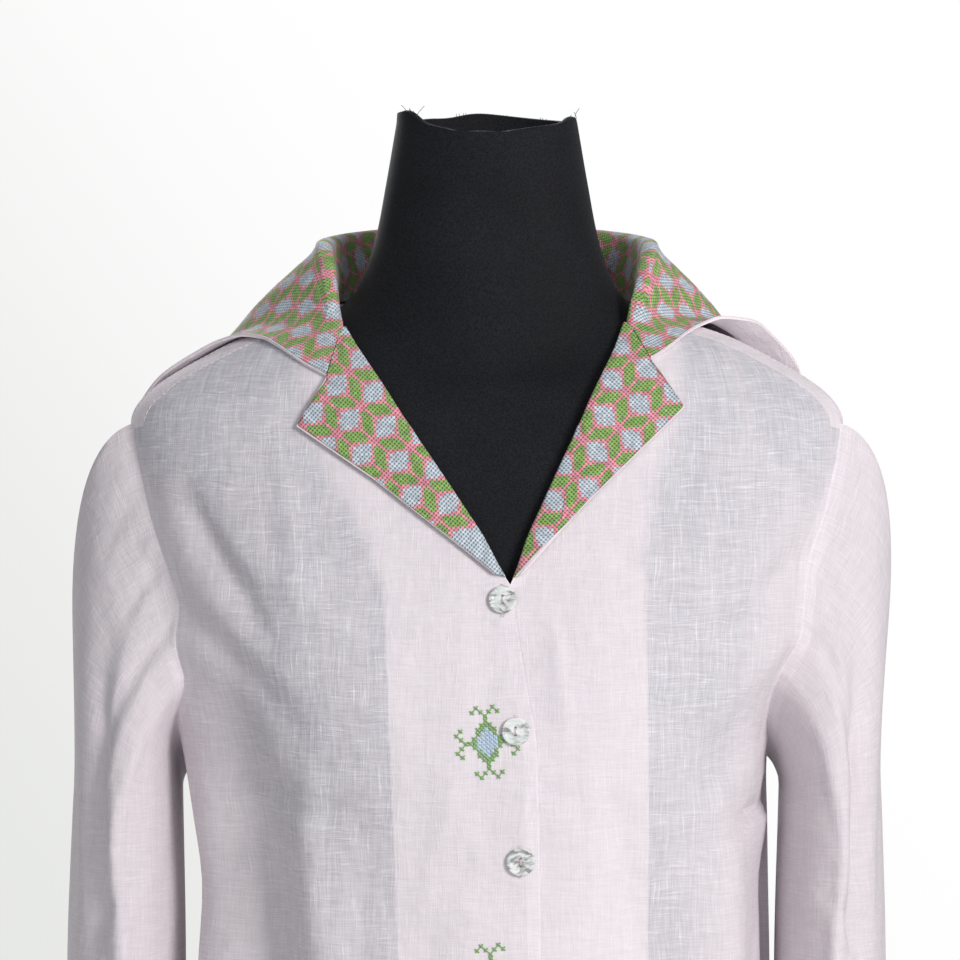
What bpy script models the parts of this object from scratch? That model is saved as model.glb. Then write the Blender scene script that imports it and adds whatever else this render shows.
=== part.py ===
"""Long-sleeved linen shirt with a wide turned-down collar and notched lapels, worn by a limbless dress form.

Units below are millimetres, scaled to metres as each mesh is made. +Z is up and the front faces -Y.
An angle of 0 points to the wearer's left (+X), 90 to the front, 180 to the wearer's right and 270 to the back.
A level counts the rows of FORM from the base upwards, so 5.5 is half way from the sixth row to the seventh.
"""

import math

import bmesh
import bpy
import numpy as np
from mathutils import Vector
from mathutils.bvhtree import BVHTree
from mathutils.geometry import delaunay_2d_cdt

MM = 0.001

# Cloth and clearances
WALL = 1.2
COLLAR_WALL = 1.0
LAPEL_WALL = 1.4
GAP = 0.4
SEAM_GAP = 0.5

# How near a place found on the shirt comes to the point that was asked for
PLACE_ERROR = 0.002

# Shirt lengths and heights
HEM_Z = 85.0
CUFF_Z = 100.0

# How far the top front stands out over the under one, and the angles over which it comes down to the side
LAP_LIFT = 1.9
LAP_FADE = (94.0, 106.0)

# Buttons
BUTTON_RADIUS = 7.75
BUTTON_THICK = 2.2
BUTTON_WELL_RADIUS = 5.6
BUTTON_WELL_DEPTH = 0.5
BUTTON_HOLE_RADIUS = 0.8
BUTTON_HOLE_OFFSET = 1.9
BUTTON_PITCH = 70.7
BUTTON_TOP_Z = 574.5
BUTTON_COUNT = 6


class Table:
    """A short table: names of the columns, then one row for each section, each starting with the row's name."""

    def __init__(self, columns, rows):
        self.columns = columns.split()
        self.names = [row[0] for row in rows]
        self.values = np.array([row[1:] for row in rows], float)

    def column(self, name):
        return self.values[:, self.columns.index(name)]

    def level(self, name):
        return float(self.names.index(name))


FORM = Table(
    "side_z front_z back_z width front back",
    [
        ("base", 0, 0, 0, 156, 98, 106),
        ("hip", 110, 110, 110, 168, 110, 120),
        ("high_hip", 225, 225, 225, 155, 102, 106),
        ("waist", 345, 345, 345, 122, 84, 86),
        ("under_bust", 440, 435, 440, 134, 96, 92),
        ("bust", 500, 488, 505, 147, 110, 102),
        ("chest", 560, 548, 575, 158, 107, 106),
        ("arm", 615, 603, 632, 180, 96, 100),
        ("tip", 674, 655, 690, 203, 78, 88),
        ("shoulder", 717, 690, 728, 150, 64, 78),
        ("neck", 744, 706, 758, 80, 54, 64),
        ("low_neck", 779, 742, 786, 65, 51, 54),
        ("mid_neck", 812, 796, 820, 58.5, 49, 49),
        ("top_neck", 847, 838, 856, 52.5, 45, 45),
    ],
)

# How far the shirt's outer face stands off the form, at the sides, at the front and at the back
EASE = Table(
    "side front back",
    [
        ("base", 17, 22, 18),
        ("hip", 10, 17, 13),
        ("high_hip", 16, 24, 25),
        ("waist", 42, 41, 36),
        ("under_bust", 29, 27, 24),
        ("bust", 20, 12, 11),
        ("chest", 36, 7, 7),
        ("arm", 24, 6, 6),
        ("tip", 3.2, 7, 5),
        ("shoulder", 2.2, 9, 3.5),
        ("neck", 3.0, 8, 3.2),
        ("low_neck", 3.0, 6, 3.2),
        ("mid_neck", 3.0, 6, 3.2),
        ("top_neck", 3.0, 6, 3.2),
    ],
)

SQUARENESS = 0.045

# Levels of the rows over the shoulder, close together where it turns most
SHOULDER_ROWS = [8.0, 8.1, 8.22, 8.36, 8.55, 8.8, 9.15, 9.5]

# Bust: how far it rises, and how far it spreads sideways and upwards, on the form and in the cloth over it
FORM_BUST = dict(rise=9.0, apart=76.0, spread=42.0, height=492.0, tall=46.0)
CLOTH_BUST = dict(rise=8.0, apart=72.0, spread=66.0, height=500.0, tall=80.0)

# Soft folds of the shirt's body, from the hem up to the level high. Depth is outwards, angle and spread are round
# the body. Each fades out over the last BODY_FOLD_FADE levels.
BODY_FOLD_FADE = 1.8
BODY_FOLDS = Table(
    "angle high spread depth",
    [
        ("right_side_ridge", 157, 5.6, 9, 10),
        ("right_side_trough", 139, 5.3, 7, -11),
        ("right_front_ridge", 121, 4.6, 9, 6),
        ("right_hem_trough", 104, 3.4, 6, -5),
        ("left_hem_ridge", 75, 3.4, 8, 5),
        ("left_front_trough", 56, 4.9, 7, -7),
        ("left_front_ridge", 40, 4.9, 8, 6),
        ("left_side_trough", 24, 4.0, 6, -5),
        ("back_ridge_1", 340, 4.6, 8, 8),
        ("back_trough_1", 322, 4.4, 8, -8),
        ("back_ridge_2", 303, 4.8, 8, 7),
        ("back_trough_2", 286, 4.6, 8, -7),
        ("back_ridge_3", 268, 5.0, 8, 6),
        ("back_trough_3", 250, 4.6, 8, -7),
        ("back_ridge_4", 233, 4.8, 8, 7),
        ("back_trough_4", 215, 4.4, 8, -8),
        ("back_ridge_5", 199, 4.6, 8, 8),
    ],
)

# The V of the neck, seen from the front: x is measured outwards from the shirt's middle on each side
V_NECK = {
    "right": dict(roll_top=(-82.5, 727.0), notch=(-90.0, 698.0), tip=(-106.0, 669.5)),
    "left": dict(roll_top=(80.0, 730.0), notch=(92.0, 708.0), tip=(110.0, 680.0)),
}
LAPEL_EDGE = {
    "right": [(-70.0, 646.0), (-36.0, 622.0)],
    "left": [(62.0, 635.0), (40.0, 613.0)],
}
LAPEL_BOTTOM = {"right": (4.0, 588.0), "left": (19.0, 588.0)}
BREAK = (12.5, 583.0)

# Front edge of the top layer (the wearer's right) from the break down, how far the buttons lie in from it (the
# first one is nearly on it) and how far the under layer runs beneath it
FRONT_EDGE = [(12.5, 583.0), (22.0, 525.0), (27.0, 495.0), (29.0, 360.0), (29.0, 60.0)]
BUTTON_INSET = 10.5
FIRST_BUTTON_INSET = 5.5
UNDERLAP = 24.0
UNDER_ROW = 0.12

# Armhole: angle of each panel's edge from the side line, by level
UNDERARM = 4.66
ARMHOLE = {
    "front": [(UNDERARM, 0), (5.0, 13), (5.6, 24), (6.6, 25), (7.4, 20), (8.0, 12)],
    "back": [(UNDERARM, 0), (5.0, -14), (5.6, -25), (6.7, -27), (7.45, -24), (7.8, -8), (8.0, 12)],
}
BACK_ARMHOLE_ROWS = [4.8, 5.05, 5.4, 5.8, 6.25, 6.75, 7.15, 7.45, 7.65, 7.8, 7.92]
SHOULDER_SEAM = 12.0
NECK_END = 9.86
NECK_EDGE = 13.5

# Rows of the sleeve's cap as shares of the way from the armhole, and the heights of the rows below it
CAP_ROWS = [0.0, 0.07, 0.17, 0.3, 0.46, 0.64, 0.82, 1.0]
SLEEVE_ROWS = [420, 380, 340, 300, 260, 220, 180, 140, CUFF_Z]
CAP_REACH = 0.7
CAP_TOP_DROP = -0.3
CAP_UNDER_DROP = -0.8

# Sleeve sections below the armhole, for each side
SLEEVE = {
    "left": Table(
        "z centre_x centre_y half_width half_depth",
        [
            ("underarm", 462, 199, 3, 29, 70),
            ("elbow", 350, 198, 0, 31, 66),
            ("forearm", 225, 206, -3, 29, 60),
            ("cuff", CUFF_Z, 214, -6, 26, 55),
        ],
    ),
    "right": Table(
        "z centre_x centre_y half_width half_depth",
        [
            ("underarm", 462, -208, 3, 31, 72),
            ("elbow", 350, -208, 0, 33, 68),
            ("forearm", 225, -212, -3, 30, 61),
            ("cuff", CUFF_Z, -219, -6, 27, 55),
        ],
    ),
}

# Sleeve folds: turn is 0 at the underarm, 90 at the front, 180 outside, 270 at the back. Depth is inwards. Each
# starts to show FOLD_START below its low height, is whole FOLD_WHOLE above it and fades out over FOLD_FADE.
FOLD_START = 60.0
FOLD_WHOLE = 40.0
FOLD_FADE = 140.0
SLEEVE_FOLDS = Table(
    "turn low high spread depth",
    [
        ("front_trough", 118, 150, 640, 17, 7),
        ("front_inner_trough", 62, 90, 430, 16, 5),
        ("outer_trough", 158, 90, 360, 15, 4),
        ("back_trough", 235, 90, 560, 20, 7),
        ("back_inner_trough", 300, 90, 420, 16, 5),
    ],
)

# Collar: rows from the notch on one side to the middle of the back. The first three start on the gorge seam.
# The edge's place is an angle (on the wearer's right and left) and a level, stand is the height from the neck
# seam to the roll, flat is how far the row lies on the shirt instead of standing, tent is how far the fall
# bows out between the roll and the edge, and lift is the height of the outer edge above the shirt.
COLLAR = Table(
    "share neck_angle neck_level edge_right edge_left edge_level stand flat tent lift",
    [
        ("notch", 0.00, 0, 0, -12, -28, 8.13, 2, 1.0, 0, 4),
        ("gorge", 0.06, 0, 0, -19, -32, 8.02, 4, 0.95, 4, 4),
        ("roll_top", 0.13, 0, 0, -28, -37, 7.90, 12, 0.5, 16, 5),
        ("side_front", 0.24, 13.5, 9.86, -38, -42, 7.79, 24, 0.08, 25, 4),
        ("side", 0.36, -4, 9.86, -48, -49, 7.71, 31, 0.0, 20, 3.5),
        ("side_back", 0.57, -34, 9.86, -62, -62, 7.63, 33, 0.0, 9, 3),
        ("back", 0.78, -63, 9.86, -76, -76, 7.59, 33, 0.0, 4, 3),
        ("middle_back", 1.00, -90, 9.86, -90, -90, 7.58, 33, 0.0, 3, 3),
    ],
)
# How the collar's front edge lifts off the shirt: height, and where along the edge it is highest and how widely
FRONT_EDGE_RISE = {"right": (2.0, 0.6, 0.3), "left": (12.0, 0.72, 0.22)}
COLLAR_BEND = 2.7
COLLAR_BOW = np.array([0.5, 0.85])

# The collar's roll turns at this radius, or less where the stand is low
ROLL_RADIUS = 4.6
ROLL_LEAST = 1.6
ROLL_SHARE = 0.25
NECK_CENTRE = np.array([0.0, 5.0, 0.0])
COLLAR_GAP = 0.3
COLLAR_ROWS = [0, 0.045, 0.09, 0.13, 0.18, 0.24, 0.31, 0.38, 0.46, 0.55, 0.64, 0.73, 0.82, 0.91, 1.0]
COLLAR_FALL = [0.15, 0.31, 0.47, 0.62, 0.76, 0.89, 1.0]
STAND_LEAN = 0.10
COLLAR_CLEAR = 3.0

# Lapel: how far the facing turns back inside and lies below the front there, how far its ends are drawn in
# from the ends of the V as shares of a row, the gap at the gorge, how the turned-out part lifts and puffs off
# the front, and the places of its columns, with the corner of the notch at NOTCH_AT
FACING_INSIDE = 8.0
FACING_DROP = 0.8
LAPEL_START = 0.35
LAPEL_END = 0.2
GORGE_GAP = 1.8
LAPEL_EDGE_LIFT = 1.6
LAPEL_PUFF = 1.1
NOTCH_AT = 0.42
LAPEL_ACROSS = (0.14, 0.28, NOTCH_AT, 0.62, 0.82, 1.0)

PINK_LINEN = ("pink_linen", (0.80, 0.72, 0.75, 1.0), 0.85, 0.0)
STITCHED_BAND = ("stitched_band", (0.45, 0.52, 0.42, 1.0), 0.8, 0.0)
BLACK_JERSEY = ("black_jersey", (0.012, 0.013, 0.016, 1.0), 0.75, 0.0)
SHELL = ("shell", (0.62, 0.66, 0.64, 1.0), 0.25, 0.0)


def clear_scene():
    for old in list(bpy.data.objects):
        bpy.data.objects.remove(old, do_unlink=True)


def material(spec):
    name, colour, roughness, metallic = spec
    made = bpy.data.materials.get(name)
    if made is None:
        made = bpy.data.materials.new(name)
        made.use_nodes = True
        shader = made.node_tree.nodes["Principled BSDF"]
        shader.inputs["Base Color"].default_value = colour
        shader.inputs["Roughness"].default_value = roughness
        shader.inputs["Metallic"].default_value = metallic
    return made


def smooth_step(low, high, value):
    share = np.clip((np.asarray(value, float) - low) / (high - low), 0, 1)
    return share * share * (3 - 2 * share)


def monotone(knots, values, at):
    """Smooth curve through the points with no overshoot between them (Fritsch and Carlson's slopes)."""
    knots, values = np.asarray(knots, float), np.asarray(values, float)
    step = np.diff(knots)
    slope = np.diff(values) / step
    tangent = np.zeros(len(knots))
    tangent[0], tangent[-1] = slope[0], slope[-1]
    same = slope[:-1] * slope[1:] > 0
    before, after = slope[:-1][same], slope[1:][same]
    weight_a = (2 * step[1:] + step[:-1])[same]
    weight_b = (step[1:] + 2 * step[:-1])[same]
    tangent[1:-1][same] = (weight_a + weight_b) / (weight_a / before + weight_b / after)
    at = np.clip(at, knots[0], knots[-1])
    low = np.clip(np.searchsorted(knots, at, side="right") - 1, 0, len(step) - 1)
    share = (at - knots[low]) / step[low]
    square, cube = share**2, share**3
    return (
        values[low] * (2 * cube - 3 * square + 1)
        + values[low + 1] * (3 * square - 2 * cube)
        + tangent[low] * step[low] * (cube - 2 * square + share)
        + tangent[low + 1] * step[low] * (cube - square)
    )


def read(table, name, level):
    return monotone(np.arange(len(table.names)), table.column(name), level)


def unit(vectors):
    return vectors / np.maximum(np.linalg.norm(vectors, axis=-1, keepdims=True), 1e-9)


def body_point(angle, level, bust):
    """A point of the torso's skin at an angle in degrees and a level."""
    angle, level = np.broadcast_arrays(np.asarray(angle, float), np.asarray(level, float))
    turn = np.radians(angle)
    cosine, sine = np.cos(turn), np.sin(turn)
    at_front = sine > 0
    depth = np.where(at_front, read(FORM, "front", level), read(FORM, "back", level))
    middle_z = np.where(at_front, read(FORM, "front_z", level), read(FORM, "back_z", level))
    side_z = read(FORM, "side_z", level)
    square = 1 + SQUARENESS * np.sin(2 * turn) ** 2
    x = read(FORM, "width", level) * cosine * square
    y = -depth * sine * square
    z = side_z + (middle_z - side_z) * sine**2
    across = (np.abs(x) - bust["apart"]) / bust["spread"]
    up = (z - bust["height"]) / bust["tall"]
    y = y - bust["rise"] * np.exp(-(across**2) - up**2) * np.where(at_front, sine, 0)
    return np.stack([x, y, z], axis=-1)


def body_normal(angle, level, bust):
    step_angle, step_level = 1.5, 0.03
    along = body_point(angle + step_angle, level, bust) - body_point(angle - step_angle, level, bust)
    up = body_point(angle, level + step_level, bust) - body_point(angle, level - step_level, bust)
    return unit(np.cross(up, along))


def fold_depth(angle, level):
    total = np.zeros(np.broadcast(angle, level).shape)
    for centre, high, spread, depth in BODY_FOLDS.values:
        away = (np.asarray(angle) - centre + 180) % 360 - 180
        reach = 1 - smooth_step(high - BODY_FOLD_FADE, high, level)
        total = total + depth * np.exp(-((away / spread) ** 2)) * reach
    return total


def shirt_point(angle, level, lift=0.0):
    """A point of the shirt's outer face, moved out by lift."""
    angle, level = np.broadcast_arrays(np.asarray(angle, float), np.asarray(level, float))
    turn = np.radians(angle)
    middle = np.where(np.sin(turn) > 0, read(EASE, "front", level), read(EASE, "back", level))
    ease = read(EASE, "side", level) * np.cos(turn) ** 2 + middle * np.sin(turn) ** 2
    normal = shirt_normal(angle, level)
    out = ease + fold_depth(angle, level) + lift
    return body_point(angle, level, CLOTH_BUST) + normal * out[..., None]


def shirt_normal(angle, level):
    """The form's normal, kept level below the bust so that the cloth hangs straight."""
    normal = body_normal(angle, level, CLOTH_BUST)
    normal[..., 2] *= smooth_step(FORM.level("bust"), FORM.level("arm"), level)
    return unit(normal)


def front_place(x, z):
    """Angles and levels of the shirt's front at x and z, seen from the front."""
    x, z = np.broadcast_arrays(np.asarray(x, float), np.asarray(z, float))
    angle = np.degrees(np.arccos(np.clip(x / 185, -0.97, 0.97)))
    level = np.interp(z, FORM.column("front_z"), np.arange(len(FORM.names)))
    for _ in range(25):
        here = shirt_point(angle, level)
        by_angle = (shirt_point(angle + 0.5, level) - here) / 0.5
        by_level = (shirt_point(angle, level + 0.02) - here) / 0.02
        miss_x, miss_z = x - here[..., 0], z - here[..., 2]
        if np.abs(miss_x).max() + np.abs(miss_z).max() < PLACE_ERROR:
            break
        size = by_angle[..., 0] * by_level[..., 2] - by_level[..., 0] * by_angle[..., 2]
        angle = angle + np.clip((miss_x * by_level[..., 2] - by_level[..., 0] * miss_z) / size, -8, 8)
        level = level + np.clip((by_angle[..., 0] * miss_z - miss_x * by_angle[..., 2]) / size, -0.4, 0.4)
    return np.stack([angle, level], axis=-1)


def line_places(start, end, count):
    """Places on the front along a line that is straight when seen from the front."""
    share = np.linspace(0, 1, count)[:, None]
    line = np.array(start) * (1 - share) + np.array(end) * share
    return front_place(line[:, 0], line[:, 1])


def grid_normals(grid, closed=False):
    """Normals of a grid of points by central differences, the second axis closed for a tube."""
    along = np.gradient(grid, axis=0)
    if closed:
        across = np.roll(grid, -1, axis=1) - np.roll(grid, 1, axis=1)
    else:
        across = np.gradient(grid, axis=1)
    return unit(np.cross(across, along))


def add_object(name, points, faces, spec):
    mesh = bpy.data.meshes.new(name)
    mesh.from_pydata([Vector(p) * MM for p in points], [], faces)
    mesh.materials.append(material(spec))
    made = bpy.data.objects.new(name, mesh)
    bpy.context.scene.collection.objects.link(made)
    mesh.shade_smooth()
    mesh.set_sharp_from_angle(angle=math.radians(50))
    return made


def wall(name, outer, thickness, spec, closed=False, flip=False):
    """A cloth wall: the outer grid, and the same grid moved in by the thickness."""
    normals = grid_normals(outer, closed) * (-1 if flip else 1)
    shell(name, outer, outer - normals * thickness, spec, closed)


def shell(name, outer, inner, spec, closed=False):
    """One closed body between two matching grids, with a rim round the open edges."""
    rows, columns = outer.shape[:2]
    points = np.concatenate([outer.reshape(-1, 3), inner.reshape(-1, 3)])
    shift = rows * columns
    faces = []
    spans = columns if closed else columns - 1
    for row in range(rows - 1):
        for column in range(spans):
            a, b = row * columns + column, row * columns + (column + 1) % columns
            c, d = b + columns, a + columns
            for corners in ((a, b, c), (a, c, d)):
                faces.append(corners)
                faces.append([corner + shift for corner in reversed(corners)])
    border = [[(0, c), (0, (c + 1) % columns)] for c in range(spans)]
    border += [[(rows - 1, (c + 1) % columns), (rows - 1, c)] for c in range(spans)]
    if not closed:
        border += [[(r + 1, 0), (r, 0)] for r in range(rows - 1)]
        border += [[(r, columns - 1), (r + 1, columns - 1)] for r in range(rows - 1)]
    for (row_a, column_a), (row_b, column_b) in border:
        a, b = row_a * columns + column_a, row_b * columns + column_b
        faces.append([b, a, a + shift, b + shift])
    face_outwards(add_object(name, points, faces, spec).data)


def face_outwards(mesh):
    edit = bmesh.new()
    edit.from_mesh(mesh)
    bmesh.ops.recalc_face_normals(edit, faces=edit.faces)
    edit.to_mesh(mesh)
    edit.free()


def dress_form():
    """Torso and neck in one smooth body, flat underneath, with the open rim of its cover at the neck."""
    around, rim_width, rim_depth = 40, 5.0, 9.0
    levels = np.concatenate([np.linspace(0, 7.5, 16), SHOULDER_ROWS, [NECK_END, 10.2], np.linspace(10.6, 13, 6)])
    angles = np.linspace(0, 360, around, endpoint=False)
    rings = [body_point(angles, level, FORM_BUST) for level in levels]
    top = rings[-1]
    centre = top.mean(axis=0)
    inner = centre + (top - centre) * (1 - rim_width / np.linalg.norm(top - centre, axis=1, keepdims=True))
    rings.append(inner)
    rings.append(inner - np.array([0, 0, rim_depth]))
    points = np.concatenate(rings)
    faces = []
    for row in range(len(rings) - 1):
        for column in range(around):
            beside = (column + 1) % around
            faces.append([row * around + column, row * around + beside, (row + 1) * around + beside,
                          (row + 1) * around + column])
    faces.append(list(range(around)))
    faces.append([(len(rings) - 1) * around + c for c in range(around)])
    made = add_object("dress_form", points, faces, BLACK_JERSEY)
    face_outwards(made.data)


def front_lift(angle, side):
    """The wearer's right front lies over the left one, so it stands out by LAP_LIFT from just before the lap."""
    if side == "left":
        return np.zeros(np.shape(angle))
    return LAP_LIFT * (1 - smooth_step(*LAP_FADE, angle))


def hem_level():
    return float(np.interp(HEM_Z, FORM.column("side_z"), np.arange(len(FORM.names))))


def roll_line(side):
    """Levels and angles of the front's rows along the roll line, from the break to where the collar starts."""
    roll = line_places(BREAK, V_NECK[side]["roll_top"], 13)
    start, top = roll[0, 1], roll[-1, 1]
    levels = [start, start + 0.2, start + 0.45]
    levels += [level for level in [7.35, 7.7] + SHOULDER_ROWS if level < top - 0.1] + [top]
    return np.array(levels), np.interp(levels, roll[:, 1], roll[:, 0])


def front_boundary(side):
    """Levels of the front's rows, with the angles of its side edge and of its middle edge."""
    roll_levels, roll_angles = roll_line(side)
    inset, neck_angle = (UNDERLAP, NECK_EDGE) if side == "left" else (0, 180 - NECK_EDGE)
    start, top = roll_levels[0], roll_levels[-1]
    below = np.concatenate([np.linspace(hem_level(), UNDERARM, 8), [4.9, 5.25, 5.65, 6.05], [start - UNDER_ROW]])
    edge_x, edge_z = np.array(FRONT_EDGE[::-1]).T
    front_z = np.interp(below, np.arange(len(FORM.names)), FORM.column("front_z"))
    inner_below = front_place(monotone(edge_z, edge_x - inset, front_z), front_z)[:, 0]
    above = np.array([level for level in SHOULDER_ROWS + [NECK_END] if level > top])
    inner_above = roll_angles[-1] + (neck_angle - roll_angles[-1]) * (above - top) / (NECK_END - top)
    levels = np.concatenate([below, roll_levels, above])
    inner = np.concatenate([inner_below, roll_angles, inner_above])
    knots, turns = zip(*ARMHOLE["front"])
    outer = np.where(levels < UNDERARM, 0.0, monotone(knots, turns, levels))
    outer = np.where(levels >= knots[-1], SHOULDER_SEAM, outer) + seam_angle(levels)
    return levels, outer if side == "left" else 180 - outer, inner


def front(side):
    """One front, from the side seam to its front edge and roll line, and from the hem to the shoulder seam."""
    columns = 14
    levels, outer, inner = front_boundary(side)
    share = np.linspace(0, 1, columns)
    angles = outer[:, None] + (inner - outer)[:, None] * share
    grid = shirt_point(angles, levels[:, None], front_lift(angles, side))
    wall("front_" + side, grid, WALL, PINK_LINEN, flip=side == "left")


def seam_angle(levels):
    """Half a seam's gap as an angle, so that two panels that meet at one angle stay apart."""
    radius = np.interp(levels, [0, 8, 10], [170, 80, 70])
    return np.degrees(SEAM_GAP / 2 / radius)


def back():
    """The back, over the shoulders to the forward shoulder seams. Above the neck row it parts into two sides."""
    levels = np.concatenate([
        np.linspace(hem_level(), UNDERARM, 8), BACK_ARMHOLE_ROWS, SHOULDER_ROWS, [NECK_END],
    ])
    knots, turns = zip(*ARMHOLE["back"])
    past = np.where(levels < UNDERARM, 0.0, monotone(knots, turns, levels))
    past = np.where(levels >= knots[-1], SHOULDER_SEAM, past) - seam_angle(levels)
    share = np.linspace(-1, 1, 25)
    angles = 270 + (90 + past)[:, None] * share
    grid = shirt_point(angles, levels[:, None])
    wall("back", grid, WALL, PINK_LINEN, flip=True)


def armhole_ring(side):
    """Points just inside the armhole seam, one for each row of the front up to the top, then down the back.

    With each point comes its turn round the sleeve, from 0 at the underarm to 180 at the shoulder seam.
    """
    rows = {"front": front_boundary(side)[0], "back": np.array([UNDERARM] + BACK_ARMHOLE_ROWS + [8.0])}
    spots, turns = {}, {}
    for name, levels in rows.items():
        knots, angles = zip(*ARMHOLE[name])
        levels = levels[(levels >= UNDERARM - 1e-6) & (levels <= 8.0 + 1e-6)]
        line = shirt_point(monotone(knots, angles, levels), levels)
        run = np.concatenate([[0], np.cumsum(np.linalg.norm(np.diff(line, axis=0), axis=1))])
        spots[name], turns[name] = line, 180 * run / run[-1]
    ring = np.concatenate([spots["front"], spots["back"][::-1][1:-1]])
    turn = np.concatenate([turns["front"], (360 - turns["back"])[::-1][1:-1]])
    ring = ring + unit(ring.mean(axis=0) - ring) * SEAM_GAP
    ring[:, 0] += SEAM_GAP / 2
    if side == "right":
        ring[:, 0] *= -1
    return ring, turn


def sleeve_section(table, z, turns):
    """Points of the sleeve at a height, straight down from the underarm at turn 0."""
    heights = table.column("z")[::-1]
    values = {name: monotone(heights, table.column(name)[::-1], z) for name in table.columns[1:]}
    angle = np.radians(turns)
    sign = math.copysign(1, values["centre_x"])
    x = values["centre_x"] - sign * values["half_width"] * np.cos(angle)
    y = values["centre_y"] - values["half_depth"] * np.sin(angle)
    return np.stack([x, y, np.full(len(turns), float(z))], axis=-1)


def sleeve_grid(side):
    table = SLEEVE[side]
    sign = 1 if side == "left" else -1
    start, turns = armhole_ring(side)
    top_z = table.column("z")[0]
    end = sleeve_section(table, top_z, turns)
    upper = ((1 - np.cos(np.radians(turns))) / 2)[:, None]
    leave = unit(upper * np.array([sign, 0, CAP_TOP_DROP]) + (1 - upper) * np.array([sign, 0, CAP_UNDER_DROP]))
    reach = np.linalg.norm(end - start, axis=1)[:, None]
    rows = []
    for share in CAP_ROWS:
        square, cube = share**2, share**3
        rows.append(
            start * (2 * cube - 3 * square + 1) + end * (3 * square - 2 * cube)
            + leave * reach * CAP_REACH * (cube - 2 * square + share)
            + np.array([0, 0, -1]) * reach * (cube - square)
        )
    rows += [sleeve_section(table, z, turns) for z in SLEEVE_ROWS]
    grid = np.array(rows)
    inward = grid_normals(grid, closed=True) * sign
    depth = np.zeros(grid.shape[:2])
    for turn, low, high, spread, deep in SLEEVE_FOLDS.values:
        away = (turns - turn + 180) % 360 - 180
        z = grid[..., 2]
        reach = smooth_step(low - FOLD_START, low + FOLD_WHOLE, z) * (1 - smooth_step(high - FOLD_FADE, high, z))
        depth += deep * np.exp(-((away / spread) ** 2)) * reach
    depth[0] = 0
    return grid + inward * depth[..., None]


def sleeve(side):
    wall("sleeve_" + side, sleeve_grid(side), WALL, PINK_LINEN, closed=True, flip=side == "left")


def collar_neck(side, at):
    """Angle and level of the collar's seam: along the straight gorge, then up to the neck and round the back."""
    shares, names = COLLAR.column("share"), COLLAR.names
    notch, roll_top = np.array(V_NECK[side]["notch"]), np.array(V_NECK[side]["roll_top"])
    gorge_end = shares[names.index("roll_top")]
    along = np.clip(at / gorge_end, 0, 1)[:, None]
    line = notch * (1 - along) + roll_top * along
    gorge = front_place(line[:, 0], line[:, 1])
    corner = front_place(*roll_top)
    if side == "right":
        gorge[:, 0], corner[0] = 180 - gorge[:, 0], 180 - corner[0]
    first = names.index("roll_top")
    knots = [np.append(corner[k], COLLAR.column(name)[first + 1:]) for k, name in
             enumerate(("neck_angle", "neck_level"))]
    neck = np.stack([monotone(shares[first:], values, np.maximum(at, gorge_end)) for values in knots], axis=-1)
    return np.where((at < gorge_end)[:, None], gorge, neck)


def collar_half(side):
    """Rows of the collar's middle surface from the notch to the middle of the back."""
    at = np.array(COLLAR_ROWS)
    shares = COLLAR.column("share")
    neck_angle, neck_level = collar_neck(side, at).T
    edge_angle, edge_level, stand, flat, tent, lift = (
        monotone(shares, COLLAR.column(name), at)
        for name in ("edge_" + side, "edge_level", "stand", "flat", "tent", "lift")
    )
    if side == "right":
        neck_angle, edge_angle = 180 - neck_angle, 180 - edge_angle
    rest = GAP + COLLAR_WALL + COLLAR_GAP / 2
    seam = shirt_point(neck_angle, neck_level, rest)
    edge = shirt_point(edge_angle, edge_level, rest + lift)
    out = unit((seam - NECK_CENTRE) * np.array([1, 1, 0]))
    up = np.array([0, 0, 1.0])
    top = seam + (up + out * STAND_LEAN) * stand[:, None]
    radius = np.minimum(ROLL_RADIUS, ROLL_SHARE * stand + ROLL_LEAST)[:, None]
    standing = [seam, seam * 0.5 + top * 0.5]
    for turn in (180, 135, 90, 45, 0):
        angle = math.radians(turn)
        standing.append(top + out * radius * (1 + math.cos(angle)) + up * radius * math.sin(angle))
    last = standing[-1]
    for share in COLLAR_FALL:
        bow = (tent * math.sin(math.pi * share))[:, None]
        standing.append(last * (1 - share) + edge * share + (out * COLLAR_BOW[0] + up * COLLAR_BOW[1]) * bow)
    standing = np.array(standing)
    lying = []
    for share in [0, 0.03, 0.06, 0.09, 0.12, 0.15, 0.18] + [0.18 + 0.82 * fall for fall in COLLAR_FALL]:
        angle = neck_angle * (1 - share) + edge_angle * share
        bend = COLLAR_BEND * share * (1 - share) * (0.75 + 0.4 * share)
        level = neck_level * (1 - share) + edge_level * share + bend
        rise, centre, spread = FRONT_EDGE_RISE[side]
        rise = rise * math.exp(-(((share - centre) / spread) ** 2)) * smooth_step(0, 0.2, share)
        lying.append(shirt_point(angle, level, rest + lift * share + rise))
    lying = np.array(lying)
    blend = flat[None, :, None]
    return (standing * (1 - blend) + lying * blend).transpose(1, 0, 2)


def shirt_tree():
    """The shirt's closed outer surface over the shoulders, used to keep the collar clear of it."""
    angles = np.linspace(0, 360, 91)[:-1]
    levels = np.concatenate([np.linspace(6, 7.8, 7), SHOULDER_ROWS, [NECK_END]])
    grid = shirt_point(angles[None, :], levels[:, None])
    count = len(angles)
    faces = []
    for row in range(len(levels) - 1):
        for column in range(count):
            beside = (column + 1) % count
            faces.append([(row + 1) * count + column, (row + 1) * count + beside, row * count + beside,
                          row * count + column])
    return BVHTree.FromPolygons([Vector(p) for p in grid.reshape(-1, 3)], faces)


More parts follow.
